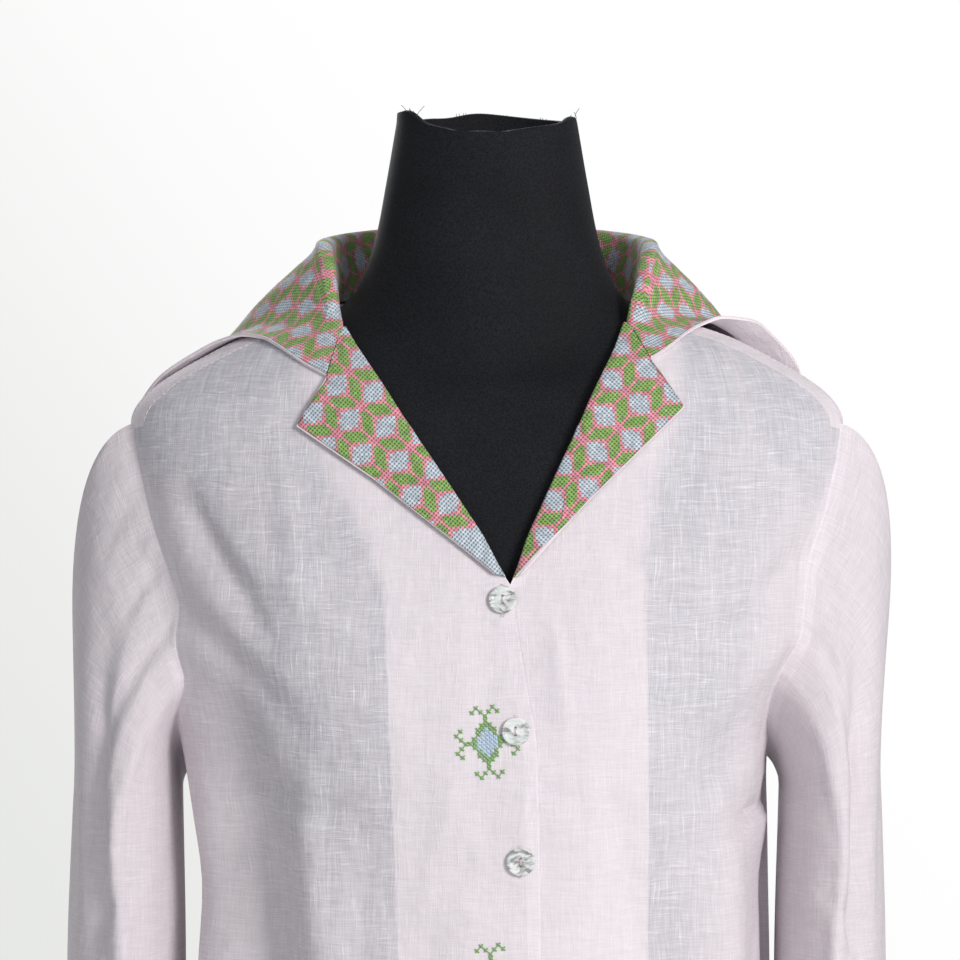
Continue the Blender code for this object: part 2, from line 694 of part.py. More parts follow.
def lay_on(grid, tree, clear, first):
    """Move the points of the columns from first onwards out, so that none is nearer to the shirt than clear."""
    for row in grid:
        for point in row[first:]:
            spot, normal, _, _ = tree.find_nearest(Vector(point))
            height = (Vector(point) - spot).dot(normal)
            if height < clear:
                point += np.array(normal) * (clear - height)


def soften(grid, first):
    """One smoothing pass over the columns from first onwards, leaving the borders where they are."""
    middle = grid[1:-1, first:-1]
    beside = (grid[:-2, first:-1] + grid[2:, first:-1] + grid[1:-1, first - 1:-2] + grid[1:-1, first + 1:]) / 4
    grid[1:-1, first:-1] = middle * 0.5 + beside * 0.5


def collar():
    left, right = collar_half("left"), collar_half("right")
    grid = np.concatenate([left, right[::-1][1:]])
    rest = GAP + COLLAR_WALL + COLLAR_GAP / 2
    tree = shirt_tree()
    for _ in range(3):
        soften(grid, first=7)
        lay_on(grid, tree, rest + COLLAR_CLEAR, first=7)
    normal = grid_normals(grid)
    if normal[len(COLLAR_ROWS) - 1, 4, 2] < 0:
        normal = -normal
    half_gap = COLLAR_GAP / 2
    shell("upper_collar", grid + normal * (half_gap + COLLAR_WALL), grid + normal * half_gap, STITCHED_BAND)
    shell("under_collar", grid - normal * half_gap, grid - normal * (half_gap + COLLAR_WALL), PINK_LINEN)


def lapel_rows(side, lift_by, wrap):
    """Rows of one face of the lapel. Each turns round the front's edge at the given radius, then lies on it."""
    sign = 1 if side == "left" else -1
    roll_top, notch, tip = (np.array(V_NECK[side][name]) for name in ("roll_top", "notch", "tip"))
    notch = notch - np.array([0, GORGE_GAP])
    levels, angles = roll_line(side)
    normal = shirt_normal(angles, levels)
    centre = shirt_point(angles, levels, front_lift(angles, side) - WALL / 2)
    for row, beside, share in ((0, 1, LAPEL_START), (-1, -2, LAPEL_END)):
        centre[row] += (centre[beside] - centre[row]) * share
    roll = centre[:, [0, 2]]
    share = (roll[:, 1] - roll[0, 1]) / (roll[-1, 1] - roll[0, 1])
    edge = np.array([LAPEL_BOTTOM[side]] + LAPEL_EDGE[side] + [tuple(tip)])
    run = np.concatenate([[0], np.cumsum(np.linalg.norm(np.diff(edge, axis=0), axis=1))])
    outer = np.stack([monotone(run / run[-1], edge[:, axis], share) for axis in range(2)], axis=-1)
    along = unit(np.gradient(centre, axis=0))
    away = unit(np.cross(along, normal))
    away *= np.sign(away[:, :1]) * sign
    inside = FACING_INSIDE * (0.3 + 0.7 * smooth_step(0, 0.25, share))[:, None]
    columns = []
    for part in (1.0, 0.5):
        inner_spot = (centre + away * inside * part)[:, [0, 2]]
        spot = front_place(inner_spot[:, 0], inner_spot[:, 1])
        depth = front_lift(spot[:, 0], side) - WALL / 2 - wrap - FACING_DROP
        columns.append(shirt_point(spot[:, 0], spot[:, 1], depth))
    for turn in (-90, -45, 0, 45, 90):
        angle = math.radians(turn)
        columns.append(centre - away * wrap * math.cos(angle) + normal * wrap * math.sin(angle))
    bend = notch - (roll_top * (1 - NOTCH_AT) + tip * NOTCH_AT)
    for across in LAPEL_ACROSS:
        tent = across / NOTCH_AT if across <= NOTCH_AT else (1 - across) / (1 - NOTCH_AT)
        flat = roll * (1 - across) + outer * across + bend * tent * (share**4)[:, None]
        spot = front_place(flat[:, 0], flat[:, 1])
        puff = LAPEL_PUFF * min(1, 6 * across * (1 - across)) + LAPEL_EDGE_LIFT * across**2
        lift = front_lift(spot[:, 0], side) + lift_by + puff
        columns.append(shirt_point(spot[:, 0], spot[:, 1], lift))
    return np.array(columns).transpose(1, 0, 2)


def lapel(side):
    inner_wrap = WALL / 2 + GAP
    outer = lapel_rows(side, GAP + LAPEL_WALL, inner_wrap + LAPEL_WALL)
    inner = lapel_rows(side, GAP, inner_wrap)
    shell("lapel_" + side, outer, inner, STITCHED_BAND)


def button(number):
    """A round two-hole button with a raised rim, square to the cloth beneath it."""
    z = BUTTON_TOP_Z - BUTTON_PITCH * (number - 1)
    edge_x, edge_z = np.array(FRONT_EDGE[::-1]).T
    x = float(monotone(edge_z, edge_x, z)) - (FIRST_BUTTON_INSET if number == 1 else BUTTON_INSET)
    turn = np.linspace(0, 2 * math.pi, 9)[:-1]
    reach = np.append(BUTTON_RADIUS * np.cos(turn), 0), np.append(BUTTON_RADIUS * np.sin(turn), 0)
    place_below = front_place(x + reach[0], z + reach[1])
    spots = shirt_point(place_below[:, 0], place_below[:, 1], front_lift(place_below[:, 0], "right"))
    normal = Vector(np.cross(spots[0] - spots[4], spots[2] - spots[6])).normalized()
    base = Vector(spots[-1])
    base += normal * (max((Vector(spot) - base).dot(normal) for spot in spots) + GAP)
    side = Vector((1, 0, 0)).cross(normal).normalized()
    across = normal.cross(side)
    outline = [(BUTTON_RADIUS, 0.0, 0.0, 24), (BUTTON_WELL_RADIUS, 0.0, 0.0, 16)]
    outline += [(BUTTON_HOLE_RADIUS, 0.0, sign * BUTTON_HOLE_OFFSET, 8) for sign in (-1, 1)]
    flat, edges, loops = [], [], []
    for radius, centre_x, centre_y, count in outline:
        first = len(flat)
        loop = [first + k for k in range(count)]
        for k in range(count):
            turn = 2 * math.pi * k / count
            flat.append(Vector((centre_x + radius * math.cos(turn), centre_y + radius * math.sin(turn))))
        edges += [(loop[k], loop[(k + 1) % count]) for k in range(count)]
        loops.append(loop)
    made = delaunay_2d_cdt(flat, edges, [], 0, 1e-6)
    triangles = [list(f) for f in made[2] if not in_hole([made[0][k] for k in f])]
    count = len(made[0])

    def place(spot, height):
        return base + across * spot.x + side * spot.y + normal * height

    def top_height(spot):
        in_well = spot.length < BUTTON_WELL_RADIUS - 0.1
        return BUTTON_THICK - (BUTTON_WELL_DEPTH if in_well else 0)

    points = [place(v, 0) for v in made[0]] + [place(v, top_height(v)) for v in made[0]]
    faces = [f[::-1] for f in triangles] + [[k + count for k in f] for f in triangles]
    for loop in (loops[0], loops[2], loops[3]):
        for a, b in zip(loop, loop[1:] + loop[:1]):
            faces.append([a, b, b + count, a + count])
    face_outwards(add_object(f"button_{number}", points, faces, SHELL).data)


def in_hole(corners):
    centre = sum(corners, Vector((0, 0))) / len(corners)
    return any((centre - Vector((0, sign * BUTTON_HOLE_OFFSET))).length < BUTTON_HOLE_RADIUS for sign in (-1, 1))


def build():
    clear_scene()
    dress_form()
    for side in ("right", "left"):
        front(side)
        sleeve(side)
        lapel(side)
    back()
    collar()
    for number in range(1, BUTTON_COUNT + 1):
        button(number)


build()
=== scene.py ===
"""Looks of a long-sleeved linen shirt with a stitched collar and lapels, worn by a limbless dress form.

Each piece of cloth is a thin wall on the form of its CAD node, on a finer grid and with smaller creases. Shapes are
worked out in millimetres and scaled to metres as each mesh is made. +Z is up and the front faces -Y. An angle of 0
points to the wearer's left (+X), 90 to the front, 180 to the wearer's right and 270 to the back. A level counts the
rows of FORM from the base upwards.
"""

import math

import bmesh
import bpy
import numpy as np
from mathutils import Matrix, Vector
from mathutils.bvhtree import BVHTree


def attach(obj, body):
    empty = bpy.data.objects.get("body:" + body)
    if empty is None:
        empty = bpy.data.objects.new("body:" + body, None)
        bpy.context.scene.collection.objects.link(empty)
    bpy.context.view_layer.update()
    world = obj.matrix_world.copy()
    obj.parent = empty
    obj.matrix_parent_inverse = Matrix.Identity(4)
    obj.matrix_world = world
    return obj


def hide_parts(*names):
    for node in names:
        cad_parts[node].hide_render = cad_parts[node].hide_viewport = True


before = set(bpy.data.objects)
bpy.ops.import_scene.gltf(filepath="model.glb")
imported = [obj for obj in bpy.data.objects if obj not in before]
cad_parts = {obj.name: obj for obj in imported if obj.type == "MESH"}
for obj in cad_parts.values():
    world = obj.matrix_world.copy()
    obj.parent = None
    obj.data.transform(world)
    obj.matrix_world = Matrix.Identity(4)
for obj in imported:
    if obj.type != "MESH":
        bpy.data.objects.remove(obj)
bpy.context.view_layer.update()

MM = 0.001

# How many steps of the finer grids there are for each step of the CAD's grids
FINE_ROWS = 4
FINE_COLUMNS = 5
FINE_COLLAR = 5
FINE_COLLAR_ROWS = 4
FINE_LAPEL_ROWS = 6

# Columns of the CAD's grids
FRONT_COLUMNS = 13
BACK_COLUMNS = 24

# Edges that turn by more degrees than this stay sharp
CLOTH_SHARP = 50
BUTTON_SHARP = 40

WALL = 1.2
COLLAR_WALL = 1.0
LAPEL_WALL = 1.4
GAP = 0.4
PLACE_ERROR = 0.002
HEM_Z = 85.0
CUFF_Z = 100.0
LAP_LIFT = 1.9
LAP_FADE = (94.0, 106.0)

BUTTON_RADIUS = 7.75
BUTTON_THICK = 2.2
BUTTON_WELL_RADIUS = 5.4
BUTTON_WELL_DEPTH = 0.5
BUTTON_HOLE_RADIUS = 0.8
BUTTON_HOLE_OFFSET = 1.9
BUTTON_PITCH = 70.7
BUTTON_TOP_Z = 574.5
BUTTON_COUNT = 6
BUTTONHOLE_LENGTH = 18.0
BUTTONHOLE_WIDTH = 2.6
BUTTONHOLE_STEP = 0.55


class Table:
    """A short table as text: the names of its columns, then a line for each row, which starts with its name."""

    def __init__(self, text):
        head, *rows = (line.split() for line in text.strip().splitlines())
        self.columns = head[1:]
        self.names = [row[0] for row in rows]
        self.values = np.array([row[1:] for row in rows], float)

    def column(self, name):
        return self.values[:, self.columns.index(name)]

    def level(self, name):
        return float(self.names.index(name))


FORM = Table("""
    name side_z front_z back_z width front back
    base 0 0 0 156 98 106
    hip 110 110 110 168 110 120
    high_hip 225 225 225 155 102 106
    waist 345 345 345 122 84 86
    under_bust 440 435 440 134 96 92
    bust 500 488 505 147 110 102
    chest 560 548 575 158 107 106
    arm 615 603 632 180 96 100
    tip 674 655 690 203 78 88
    shoulder 717 690 728 150 64 78
    neck 744 706 758 80 54 64
    low_neck 779 742 786 65 51 54
    mid_neck 812 796 820 58.5 49 49
    top_neck 847 838 856 52.5 45 45
""")

# How far the shirt's outer face stands off the form, at the sides, at the front and at the back
EASE = Table("""
    name side front back
    base 17 22 18
    hip 10 17 13
    high_hip 16 24 25
    waist 42 41 36
    under_bust 29 27 24
    bust 20 12 11
    chest 36 7 7
    arm 24 6 6
    tip 3.2 7 5
    shoulder 2.2 9 3.5
    neck 3.0 8 3.2
    low_neck 3.0 6 3.2
    mid_neck 3.0 6 3.2
    top_neck 3.0 6 3.2
""")

SQUARENESS = 0.045
SHOULDER_ROWS = [8.0, 8.1, 8.22, 8.36, 8.55, 8.8, 9.15, 9.5]
FORM_BUST = dict(rise=9.0, apart=76.0, spread=42.0, height=492.0, tall=46.0)
CLOTH_BUST = dict(rise=8.0, apart=72.0, spread=66.0, height=500.0, tall=80.0)

# Soft folds of the shirt's body, as in the CAD: depth is outwards
BODY_FOLD_FADE = 1.8
BODY_FOLDS = Table("""
    name angle high spread depth
    right_side_ridge 157 5.6 9 10
    right_side_trough 139 5.3 7 -11
    right_front_ridge 121 4.6 9 6
    right_hem_trough 104 3.4 6 -5
    left_hem_ridge 75 3.4 8 5
    left_front_trough 56 4.9 7 -7
    left_front_ridge 40 4.9 8 6
    left_side_trough 24 4.0 6 -5
    back_ridge_1 340 4.6 8 8
    back_trough_1 322 4.4 8 -8
    back_ridge_2 303 4.8 8 7
    back_trough_2 286 4.6 8 -7
    back_ridge_3 268 5.0 8 6
    back_trough_3 250 4.6 8 -7
    back_ridge_4 233 4.8 8 7
    back_trough_4 215 4.4 8 -8
    back_ridge_5 199 4.6 8 8
""")

# Smaller creases of the body: a soft line from x, z to x, z on the front (1) or the back (-1), with
# its half-width and its depth outwards
CREASES = Table("""
    name face x_start z_start x_end z_end width depth
    right_armhole_a 1 -160 630 -112 556 6 -5.5
    right_armhole_b 1 -166 596 -100 508 7 -5.5
    right_armhole_c 1 -160 566 -128 440 7 5.5
    right_armhole_d 1 -172 560 -146 452 5 -3.6
    right_side_ridge_top 1 -150 540 -141 400 10 7.5
    right_side_trough_top 1 -128 520 -112 390 10 -7.5
    right_chest 1 -132 604 -74 556 7 2.4
    right_chest_b 1 -112 640 -96 560 7 1.8
    right_under_bust 1 -120 476 -62 452 6 -4.0
    right_waist_a 1 -90 480 -74 370 8 4.5
    right_waist_b 1 -60 440 -54 350 6 -2.0
    right_waist_c 1 -104 440 -92 330 8 -4.5
    left_armhole_a 1 164 610 116 548 6 -4.2
    left_armhole_b 1 162 578 108 500 6 2.8
    left_armhole_c 1 150 548 138 462 7 -4.0
    left_under_bust 1 156 470 112 446 4 -6.0
    left_under_bust_b 1 140 490 96 452 6 2.6
    left_chest 1 70 600 104 560 6 -1.6
    left_waist_a 1 62 480 72 372 6 -2.0
    left_waist_b 1 112 450 100 340 9 5.5
    left_waist_c 1 132 430 122 340 9 -6.5
    front_lap_a 1 36 560 42 500 4 1.2
    front_lap_b 1 -20 470 -34 400 5 1.2
    right_hip 1 -90 330 -70 200 11 5.0
    left_hip 1 110 320 88 190 11 -5.0
    back_yoke_a -1 -120 650 -60 610 7 -2.4
    back_yoke_b -1 118 652 56 606 7 -2.6
    back_blade_a -1 -146 600 -84 530 6 3.2
    back_blade_b -1 148 596 90 520 6 3.4
    back_blade_c -1 30 560 64 470 9 4.0
    back_blade_d -1 -22 580 -58 480 9 -4.0
    back_armhole_a -1 -158 560 -120 450 7 -5.0
    back_armhole_b -1 160 566 126 446 7 -5.0
    back_waist_a -1 -104 480 -70 370 9 -4.5
    back_waist_b -1 100 470 70 362 9 5.0
    back_waist_c -1 10 430 -14 320 10 -4.5
    back_hip -1 60 300 84 170 9 3.0
""")
CREASE_TAPER = 0.3

V_NECK = {
    "right": dict(roll_top=(-82.5, 727.0), notch=(-90.0, 698.0), tip=(-106.0, 669.5)),
    "left": dict(roll_top=(80.0, 730.0), notch=(92.0, 708.0), tip=(110.0, 680.0)),
}
LAPEL_EDGE = {
    "right": [(-70.0, 646.0), (-36.0, 622.0)],
    "left": [(62.0, 635.0), (40.0, 613.0)],
}
LAPEL_BOTTOM = {"right": (4.0, 588.0), "left": (19.0, 588.0)}
BREAK = (12.5, 583.0)
FRONT_EDGE = [(12.5, 583.0), (22.0, 525.0), (27.0, 495.0), (29.0, 360.0), (29.0, 60.0)]
BUTTON_INSET = 10.5
FIRST_BUTTON_INSET = 5.5
UNDERLAP = 24.0
UNDER_ROW = 0.12

# Edge of the facing behind each front, seen through the cloth: x at each height
FACING_EDGE = {
    "right": [(-104.0, 700.0), (-98.0, 664.0), (-88.0, 642.0), (-66.0, 606.0), (-56.5, 580.0), (-51.5, 455.0),
              (-47.5, 362.0), (-46.0, 60.0)],
    "left": [(110.0, 712.0), (108.0, 680.0), (93.0, 641.0), (86.5, 600.0), (87.5, 540.0), (88.5, 455.0),
             (88.5, 60.0)],
}

# The facing's edge is seen softly above the bust, where the cloth stands off it
FACING_BLUR = 12.0
FACING_BLUR_Z = (540.0, 640.0)

UNDERARM = 4.66
ARMHOLE = {
    "front": [(UNDERARM, 0), (5.0, 13), (5.6, 24), (6.6, 25), (7.4, 20), (8.0, 12)],
    "back": [(UNDERARM, 0), (5.0, -14), (5.6, -25), (6.7, -27), (7.45, -24), (7.8, -8), (8.0, 12)],
}
BACK_ARMHOLE_ROWS = [4.8, 5.05, 5.4, 5.8, 6.25, 6.75, 7.15, 7.45, 7.65, 7.8, 7.92]
SHOULDER_SEAM = 12.0
NECK_END = 9.86
NECK_EDGE = 13.5

CAP_ROWS = [0.0, 0.07, 0.17, 0.3, 0.46, 0.64, 0.82, 1.0]
SLEEVE_ROWS = [420, 380, 340, 300, 260, 220, 180, 140, CUFF_Z]
CAP_REACH = 0.7
CAP_TOP_DROP = -0.3
CAP_UNDER_DROP = -0.8
SLEEVE = {
    "left": Table(f"""
        name z centre_x centre_y half_width half_depth
        underarm 462 199 3 29 70
        elbow 350 198 0 31 66
        forearm 225 206 -3 29 60
        cuff {CUFF_Z} 214 -6 26 55
    """),
    "right": Table(f"""
        name z centre_x centre_y half_width half_depth
        underarm 462 -208 3 31 72
        elbow 350 -208 0 33 68
        forearm 225 -212 -3 30 61
        cuff {CUFF_Z} -219 -6 27 55
    """),
}
FOLD_START = 60.0
FOLD_WHOLE = 40.0
FOLD_FADE = 140.0
SLEEVE_FOLDS = Table("""
    name turn low high spread depth
    front_trough 118 150 640 17 7
    front_inner_trough 62 90 430 16 5
    outer_trough 158 90 360 15 4
    back_trough 235 90 560 20 7
    back_inner_trough 300 90 420 16 5
""")

# Smaller creases of the sleeves: from turn, z to turn, z, with half-width in degrees and depth inwards
SLEEVE_CREASES = Table("""
    name turn_start z_start turn_end z_end width depth
    cap_pucker_a 150 655 140 600 5 1.8
    cap_pucker_b 132 640 124 590 5 1.6
    cap_pucker_c 112 620 110 565 5 1.8
    cap_pucker_d 205 655 214 600 5 1.6
    cap_pucker_e 232 630 236 570 6 1.8
    front_drag_a 74 570 126 450 8 3.4
    front_drag_b 58 530 100 420 8 -2.8
    front_long 122 520 96 330 8 3.4
    front_long_b 96 460 74 300 8 -2.6
    elbow_a 66 420 134 372 6 3.0
    elbow_b 84 390 150 340 6 -2.4
    elbow_c 112 350 60 300 7 2.8
    outer_drag 172 540 150 390 9 3.0
    outer_drag_b 192 490 176 330 9 -2.4
    back_drag_a 254 570 222 440 8 3.2
    back_drag_b 270 510 240 380 8 -2.6
    back_elbow_a 228 394 292 350 6 3.0
    back_elbow_b 216 360 268 312 6 -2.4
    forearm_a 110 290 140 180 8 2.4
    forearm_b 250 280 226 170 8 2.4
""")

COLLAR = Table("""
    name share neck_angle neck_level edge_right edge_left edge_level stand flat tent lift
    notch 0.00 0 0 -12 -28 8.13 2 1.0 0 4
    gorge 0.06 0 0 -19 -32 8.02 4 0.95 4 4
    roll_top 0.13 0 0 -28 -37 7.90 12 0.5 16 5
    side_front 0.24 13.5 9.86 -38 -42 7.79 24 0.08 25 4
    side 0.36 -4 9.86 -48 -49 7.71 31 0.0 20 3.5
    side_back 0.57 -34 9.86 -62 -62 7.63 33 0.0 9 3
    back 0.78 -63 9.86 -76 -76 7.59 33 0.0 4 3
    middle_back 1.00 -90 9.86 -90 -90 7.58 33 0.0 3 3
""")
FRONT_EDGE_RISE = {"right": (2.0, 0.6, 0.3), "left": (12.0, 0.72, 0.22)}
COLLAR_BEND = 2.7
COLLAR_BOW = np.array([0.5, 0.85])
ROLL_RADIUS = 4.6
ROLL_LEAST = 1.6
ROLL_SHARE = 0.25
NECK_CENTRE = np.array([0.0, 5.0, 0.0])
COLLAR_GAP = 0.3
COLLAR_REST = GAP + COLLAR_WALL + COLLAR_GAP / 2
COLLAR_ROWS = [0, 0.045, 0.09, 0.13, 0.18, 0.24, 0.31, 0.38, 0.46, 0.55, 0.64, 0.73, 0.82, 0.91, 1.0]
COLLAR_FALL = [0.15, 0.31, 0.47, 0.62, 0.76, 0.89, 1.0]
STAND_LEAN = 0.10
COLLAR_CLEAR = 0.7
COLLAR_LIFT = 0.4

# Columns of the collar's grid at the top of its roll and at the start of its fall
ROLL_COLUMN = 4
FALL_COLUMN = 7
SETTLE_ROUNDS = 3
FLATTEN_ROUNDS = 900
FLATTEN_PUSH = 1.3

# Torn corners of the form's cover at its neck: angle, spread and height
RIM_CORNERS = [(148, 16, 6.5), (172, 12, 4.0), (22, 12, 3.0), (95, 30, -1.5)]

# Loose ends of thread there: angle, how far each of their steps leans and length
LOOSE_ENDS = [(138, 1.3, 7.5), (18, 0.7, 5.5), (14, -0.4, 4.0), (34, 0.9, 4.5), (150, -0.8, 4.0)]

FACING_INSIDE = 8.0
FACING_DROP = 0.8
LAPEL_START = 0.35
LAPEL_END = 0.05
GORGE_GAP = 0.2
LAPEL_EDGE_LIFT = 1.6
LAPEL_PUFF = 1.1
NOTCH_AT = 0.42
LAPEL_ACROSS = (0.14, 0.28, NOTCH_AT, 0.62, 0.82, 1.0)

# Stitched repeat, counted in stitches: rhombi of half-length and half-height on a centred lattice
STITCH_LENGTH = 1.808
STITCH_HEIGHT = 1.695
REPEAT_LENGTH = 10.0
RHOMB_HALF_LENGTH = 4.5
RHOMB_HALF_HEIGHT = 6.0
LINE_WIDTH = 0.6
OUTLINE = (-0.34, 0.62)
EDGE_BAND = 0.8
BLUE_END = 25.0

# The plain rim of the left lapel is this much wider at its lower end, and no wider past these lengths up its edge
LEFT_RIM = 3.4
LEFT_RIM_RUN = (12, 48)

# Middle of one blue rhombus on each lapel, and how far its long axis dips outwards below the level
LAPEL_CHART = {"right": (-76.8, 674.2, 40.0), "left": (85.0, 683.1, 48.0)}
COLLAR_CHART_LEAN = math.radians(15.0)

# Cross-stitched motif beside every second button: its middle, its lean and its crosses
MOTIF_PLACES = [(0.0, 498.0), (3.0, 369.0), (3.0, 240.0)]
MOTIF_LEAN = 5.0
CROSS_PITCH = 2.35
CROSS_SIZE = 2.2
THREAD = 0.46

# Sewing
TOPSTITCH = 2.6
TOPSTITCH_GAP = 1.1
HEM_STITCH_RISE = 14.0
SEWING_LIFT = 0.12
SEWING_RADIUS = 0.2

# Greyness of the linen over the black form. It falls with the distance off the form, and beside the form (from a
# share of its half-width to another), except on the shoulders, between two levels.
SHEER_REACH = 26
FORM_SIDE = (0.78, 1.04)
SHOULDER_LEVELS = (7.2, 8.0)
SIDE_LOSS = 0.66
SLEEVE_SHEER = 0.16
COLLAR_SHEER = 0.1
NOWHERE, EVERYWHERE = -10.0, 10.0

# The back is doubled over the shoulders, above this height
YOKE_Z = 648.0

# Width of the strip turned under along the shoulder seams, and where the warp threads are counted from
SHOULDER_STRIP = 15.0
WARP_START = {"right": -70.0, "left": 70.0}


def smooth_step(low, high, value):
    share = np.clip((np.asarray(value, float) - low) / (high - low), 0, 1)
    return share * share * (3 - 2 * share)


def monotone(knots, values, at):
    """Smooth curve through the points with no overshoot between them, along the first axis of the values."""
    knots, values, at = (np.asarray(item, float) for item in (knots, values, at))
    step = np.diff(knots).reshape((-1,) + (1,) * (values.ndim - 1))
    slope = np.diff(values, axis=0) / step
    before, after = slope[:-1], slope[1:]
    same = before * after > 0
    weight_a, weight_b = 2 * step[1:] + step[:-1], step[1:] + 2 * step[:-1]
    parts = weight_a / np.where(same, before, 1) + weight_b / np.where(same, after, 1)
    tangent = np.zeros(values.shape)
    tangent[0], tangent[-1] = slope[0], slope[-1]
    tangent[1:-1] = np.where(same, (weight_a + weight_b) / np.where(same, parts, 1), 0)
    at = np.clip(at, knots[0], knots[-1])
    low = np.clip(np.searchsorted(knots, at, side="right") - 1, 0, len(knots) - 2)
    shape = at.shape + (1,) * (values.ndim - 1)
    width = np.diff(knots)[low].reshape(shape)
    share = (at - knots[low]).reshape(shape) / width
    square, cube = share**2, share**3
    return (
        values[low] * (2 * cube - 3 * square + 1)
        + values[low + 1] * (3 * square - 2 * cube)
        + tangent[low] * width * (cube - 2 * square + share)
        + tangent[low + 1] * width * (cube - square)
    )


def finer(values, factor):
    """The same steps, each parted evenly into factor smaller ones."""
    values = np.asarray(values, float)
    at = np.linspace(0, len(values) - 1, (len(values) - 1) * factor + 1)
    return np.interp(at, np.arange(len(values)), values)


def finer_grid(grid, row_factor, column_factor):
    """The same surface on a finer grid, smooth between the points."""
    for factor in (row_factor, column_factor):
        spacing = np.linalg.norm(np.diff(grid, axis=0), axis=-1).mean(axis=1)
        knots = np.concatenate([[0], np.cumsum(spacing)])
        grid = monotone(knots, grid, finer(knots, factor)).transpose(1, 0, 2)
    return grid


def read(table, name, level):
    return monotone(np.arange(len(table.names)), table.column(name), level)


def unit(vectors):
    return vectors / np.maximum(np.linalg.norm(vectors, axis=-1, keepdims=True), 1e-9)


def body_point(angle, level, bust):
    """A point of the torso's skin at an angle in degrees and a level."""
    angle, level = np.broadcast_arrays(np.asarray(angle, float), np.asarray(level, float))
    turn = np.radians(angle)
    cosine, sine = np.cos(turn), np.sin(turn)
    at_front = sine > 0
    depth = np.where(at_front, read(FORM, "front", level), read(FORM, "back", level))
    middle_z = np.where(at_front, read(FORM, "front_z", level), read(FORM, "back_z", level))
    side_z = read(FORM, "side_z", level)
    square = 1 + SQUARENESS * np.sin(2 * turn) ** 2
    x = read(FORM, "width", level) * cosine * square
    y = -depth * sine * square
    z = side_z + (middle_z - side_z) * sine**2
    across = (np.abs(x) - bust["apart"]) / bust["spread"]
    up = (z - bust["height"]) / bust["tall"]
    y = y - bust["rise"] * np.exp(-(across**2) - up**2) * np.where(at_front, sine, 0)
    return np.stack([x, y, z], axis=-1)


def body_normal(angle, level, bust):
    step_angle, step_level = 1.5, 0.03
    along = body_point(angle + step_angle, level, bust) - body_point(angle - step_angle, level, bust)
    up = body_point(angle, level + step_level, bust) - body_point(angle, level - step_level, bust)
    return unit(np.cross(up, along))


def fold_depth(angle, level):
    total = np.zeros(np.broadcast(angle, level).shape)
    for centre, high, spread, depth in BODY_FOLDS.values:
        away = (np.asarray(angle) - centre + 180) % 360 - 180
        reach = 1 - smooth_step(high - BODY_FOLD_FADE, high, level)
        total = total + depth * np.exp(-((away / spread) ** 2)) * reach
    return total


def line_wave(across, up, start_across, start_up, end_across, end_up, width, depth):
    """Height of a soft crease along a line in the plane, tapering to nothing at both of its ends."""
    run = np.array([end_across - start_across, end_up - start_up])
    length = np.hypot(*run)
    along = ((across - start_across) * run[0] + (up - start_up) * run[1]) / length**2
    beside = ((across - start_across) * run[1] - (up - start_up) * run[0]) / length
    taper = smooth_step(-CREASE_TAPER, CREASE_TAPER, along)
    taper = taper * (1 - smooth_step(1 - CREASE_TAPER, 1 + CREASE_TAPER, along))
    return depth * np.exp(-((beside / width) ** 2)) * taper


def crease_depth(point):
    total = np.zeros(point.shape[:-1])
    face = np.where(point[..., 1] < 0, 1, -1)
    for side, *line in CREASES.values:
        total += np.where(face == side, line_wave(point[..., 0], point[..., 2], *line), 0)
    return total


def ease_off(angle, level):
    """How far the shirt's outer face stands off the form, before its folds."""
    turn = np.radians(angle)
    middle = np.where(np.sin(turn) > 0, read(EASE, "front", level), read(EASE, "back", level))
    return read(EASE, "side", level) * np.cos(turn) ** 2 + middle * np.sin(turn) ** 2


def shirt_point(angle, level, lift=0.0):
    """A point of the shirt's outer face, moved out by lift."""
    angle, level = np.broadcast_arrays(np.asarray(angle, float), np.asarray(level, float))
    skin = body_point(angle, level, CLOTH_BUST)
    out = ease_off(angle, level) + fold_depth(angle, level) + crease_depth(skin) + lift
    return skin + shirt_normal(angle, level) * out[..., None]


def shirt_normal(angle, level):
    """The form's normal, kept level below the bust so that the cloth hangs straight."""
    normal = body_normal(angle, level, CLOTH_BUST)
    normal[..., 2] *= smooth_step(FORM.level("bust"), FORM.level("arm"), level)
    return unit(normal)


def front_place(x, z):
    """Angles and levels of the shirt's front at x and z, seen from the front."""
    x, z = np.broadcast_arrays(np.asarray(x, float), np.asarray(z, float))
    angle = np.degrees(np.arccos(np.clip(x / 185, -0.97, 0.97)))
    level = np.interp(z, FORM.column("front_z"), np.arange(len(FORM.names)))
    for _ in range(25):
        here = shirt_point(angle, level)
        by_angle = (shirt_point(angle + 0.5, level) - here) / 0.5
        by_level = (shirt_point(angle, level + 0.02) - here) / 0.02
        miss_x, miss_z = x - here[..., 0], z - here[..., 2]
        if np.abs(miss_x).max() + np.abs(miss_z).max() < PLACE_ERROR:
            break
        size = by_angle[..., 0] * by_level[..., 2] - by_level[..., 0] * by_angle[..., 2]
        angle = angle + np.clip((miss_x * by_level[..., 2] - by_level[..., 0] * miss_z) / size, -8, 8)
        level = level + np.clip((by_angle[..., 0] * miss_z - miss_x * by_angle[..., 2]) / size, -0.4, 0.4)
    return np.stack([angle, level], axis=-1)


def line_places(start, end, count):
    """Places on the front along a line that is straight when seen from the front."""
    share = np.linspace(0, 1, count)[:, None]
    line = np.array(start) * (1 - share) + np.array(end) * share
    return front_place(line[:, 0], line[:, 1])


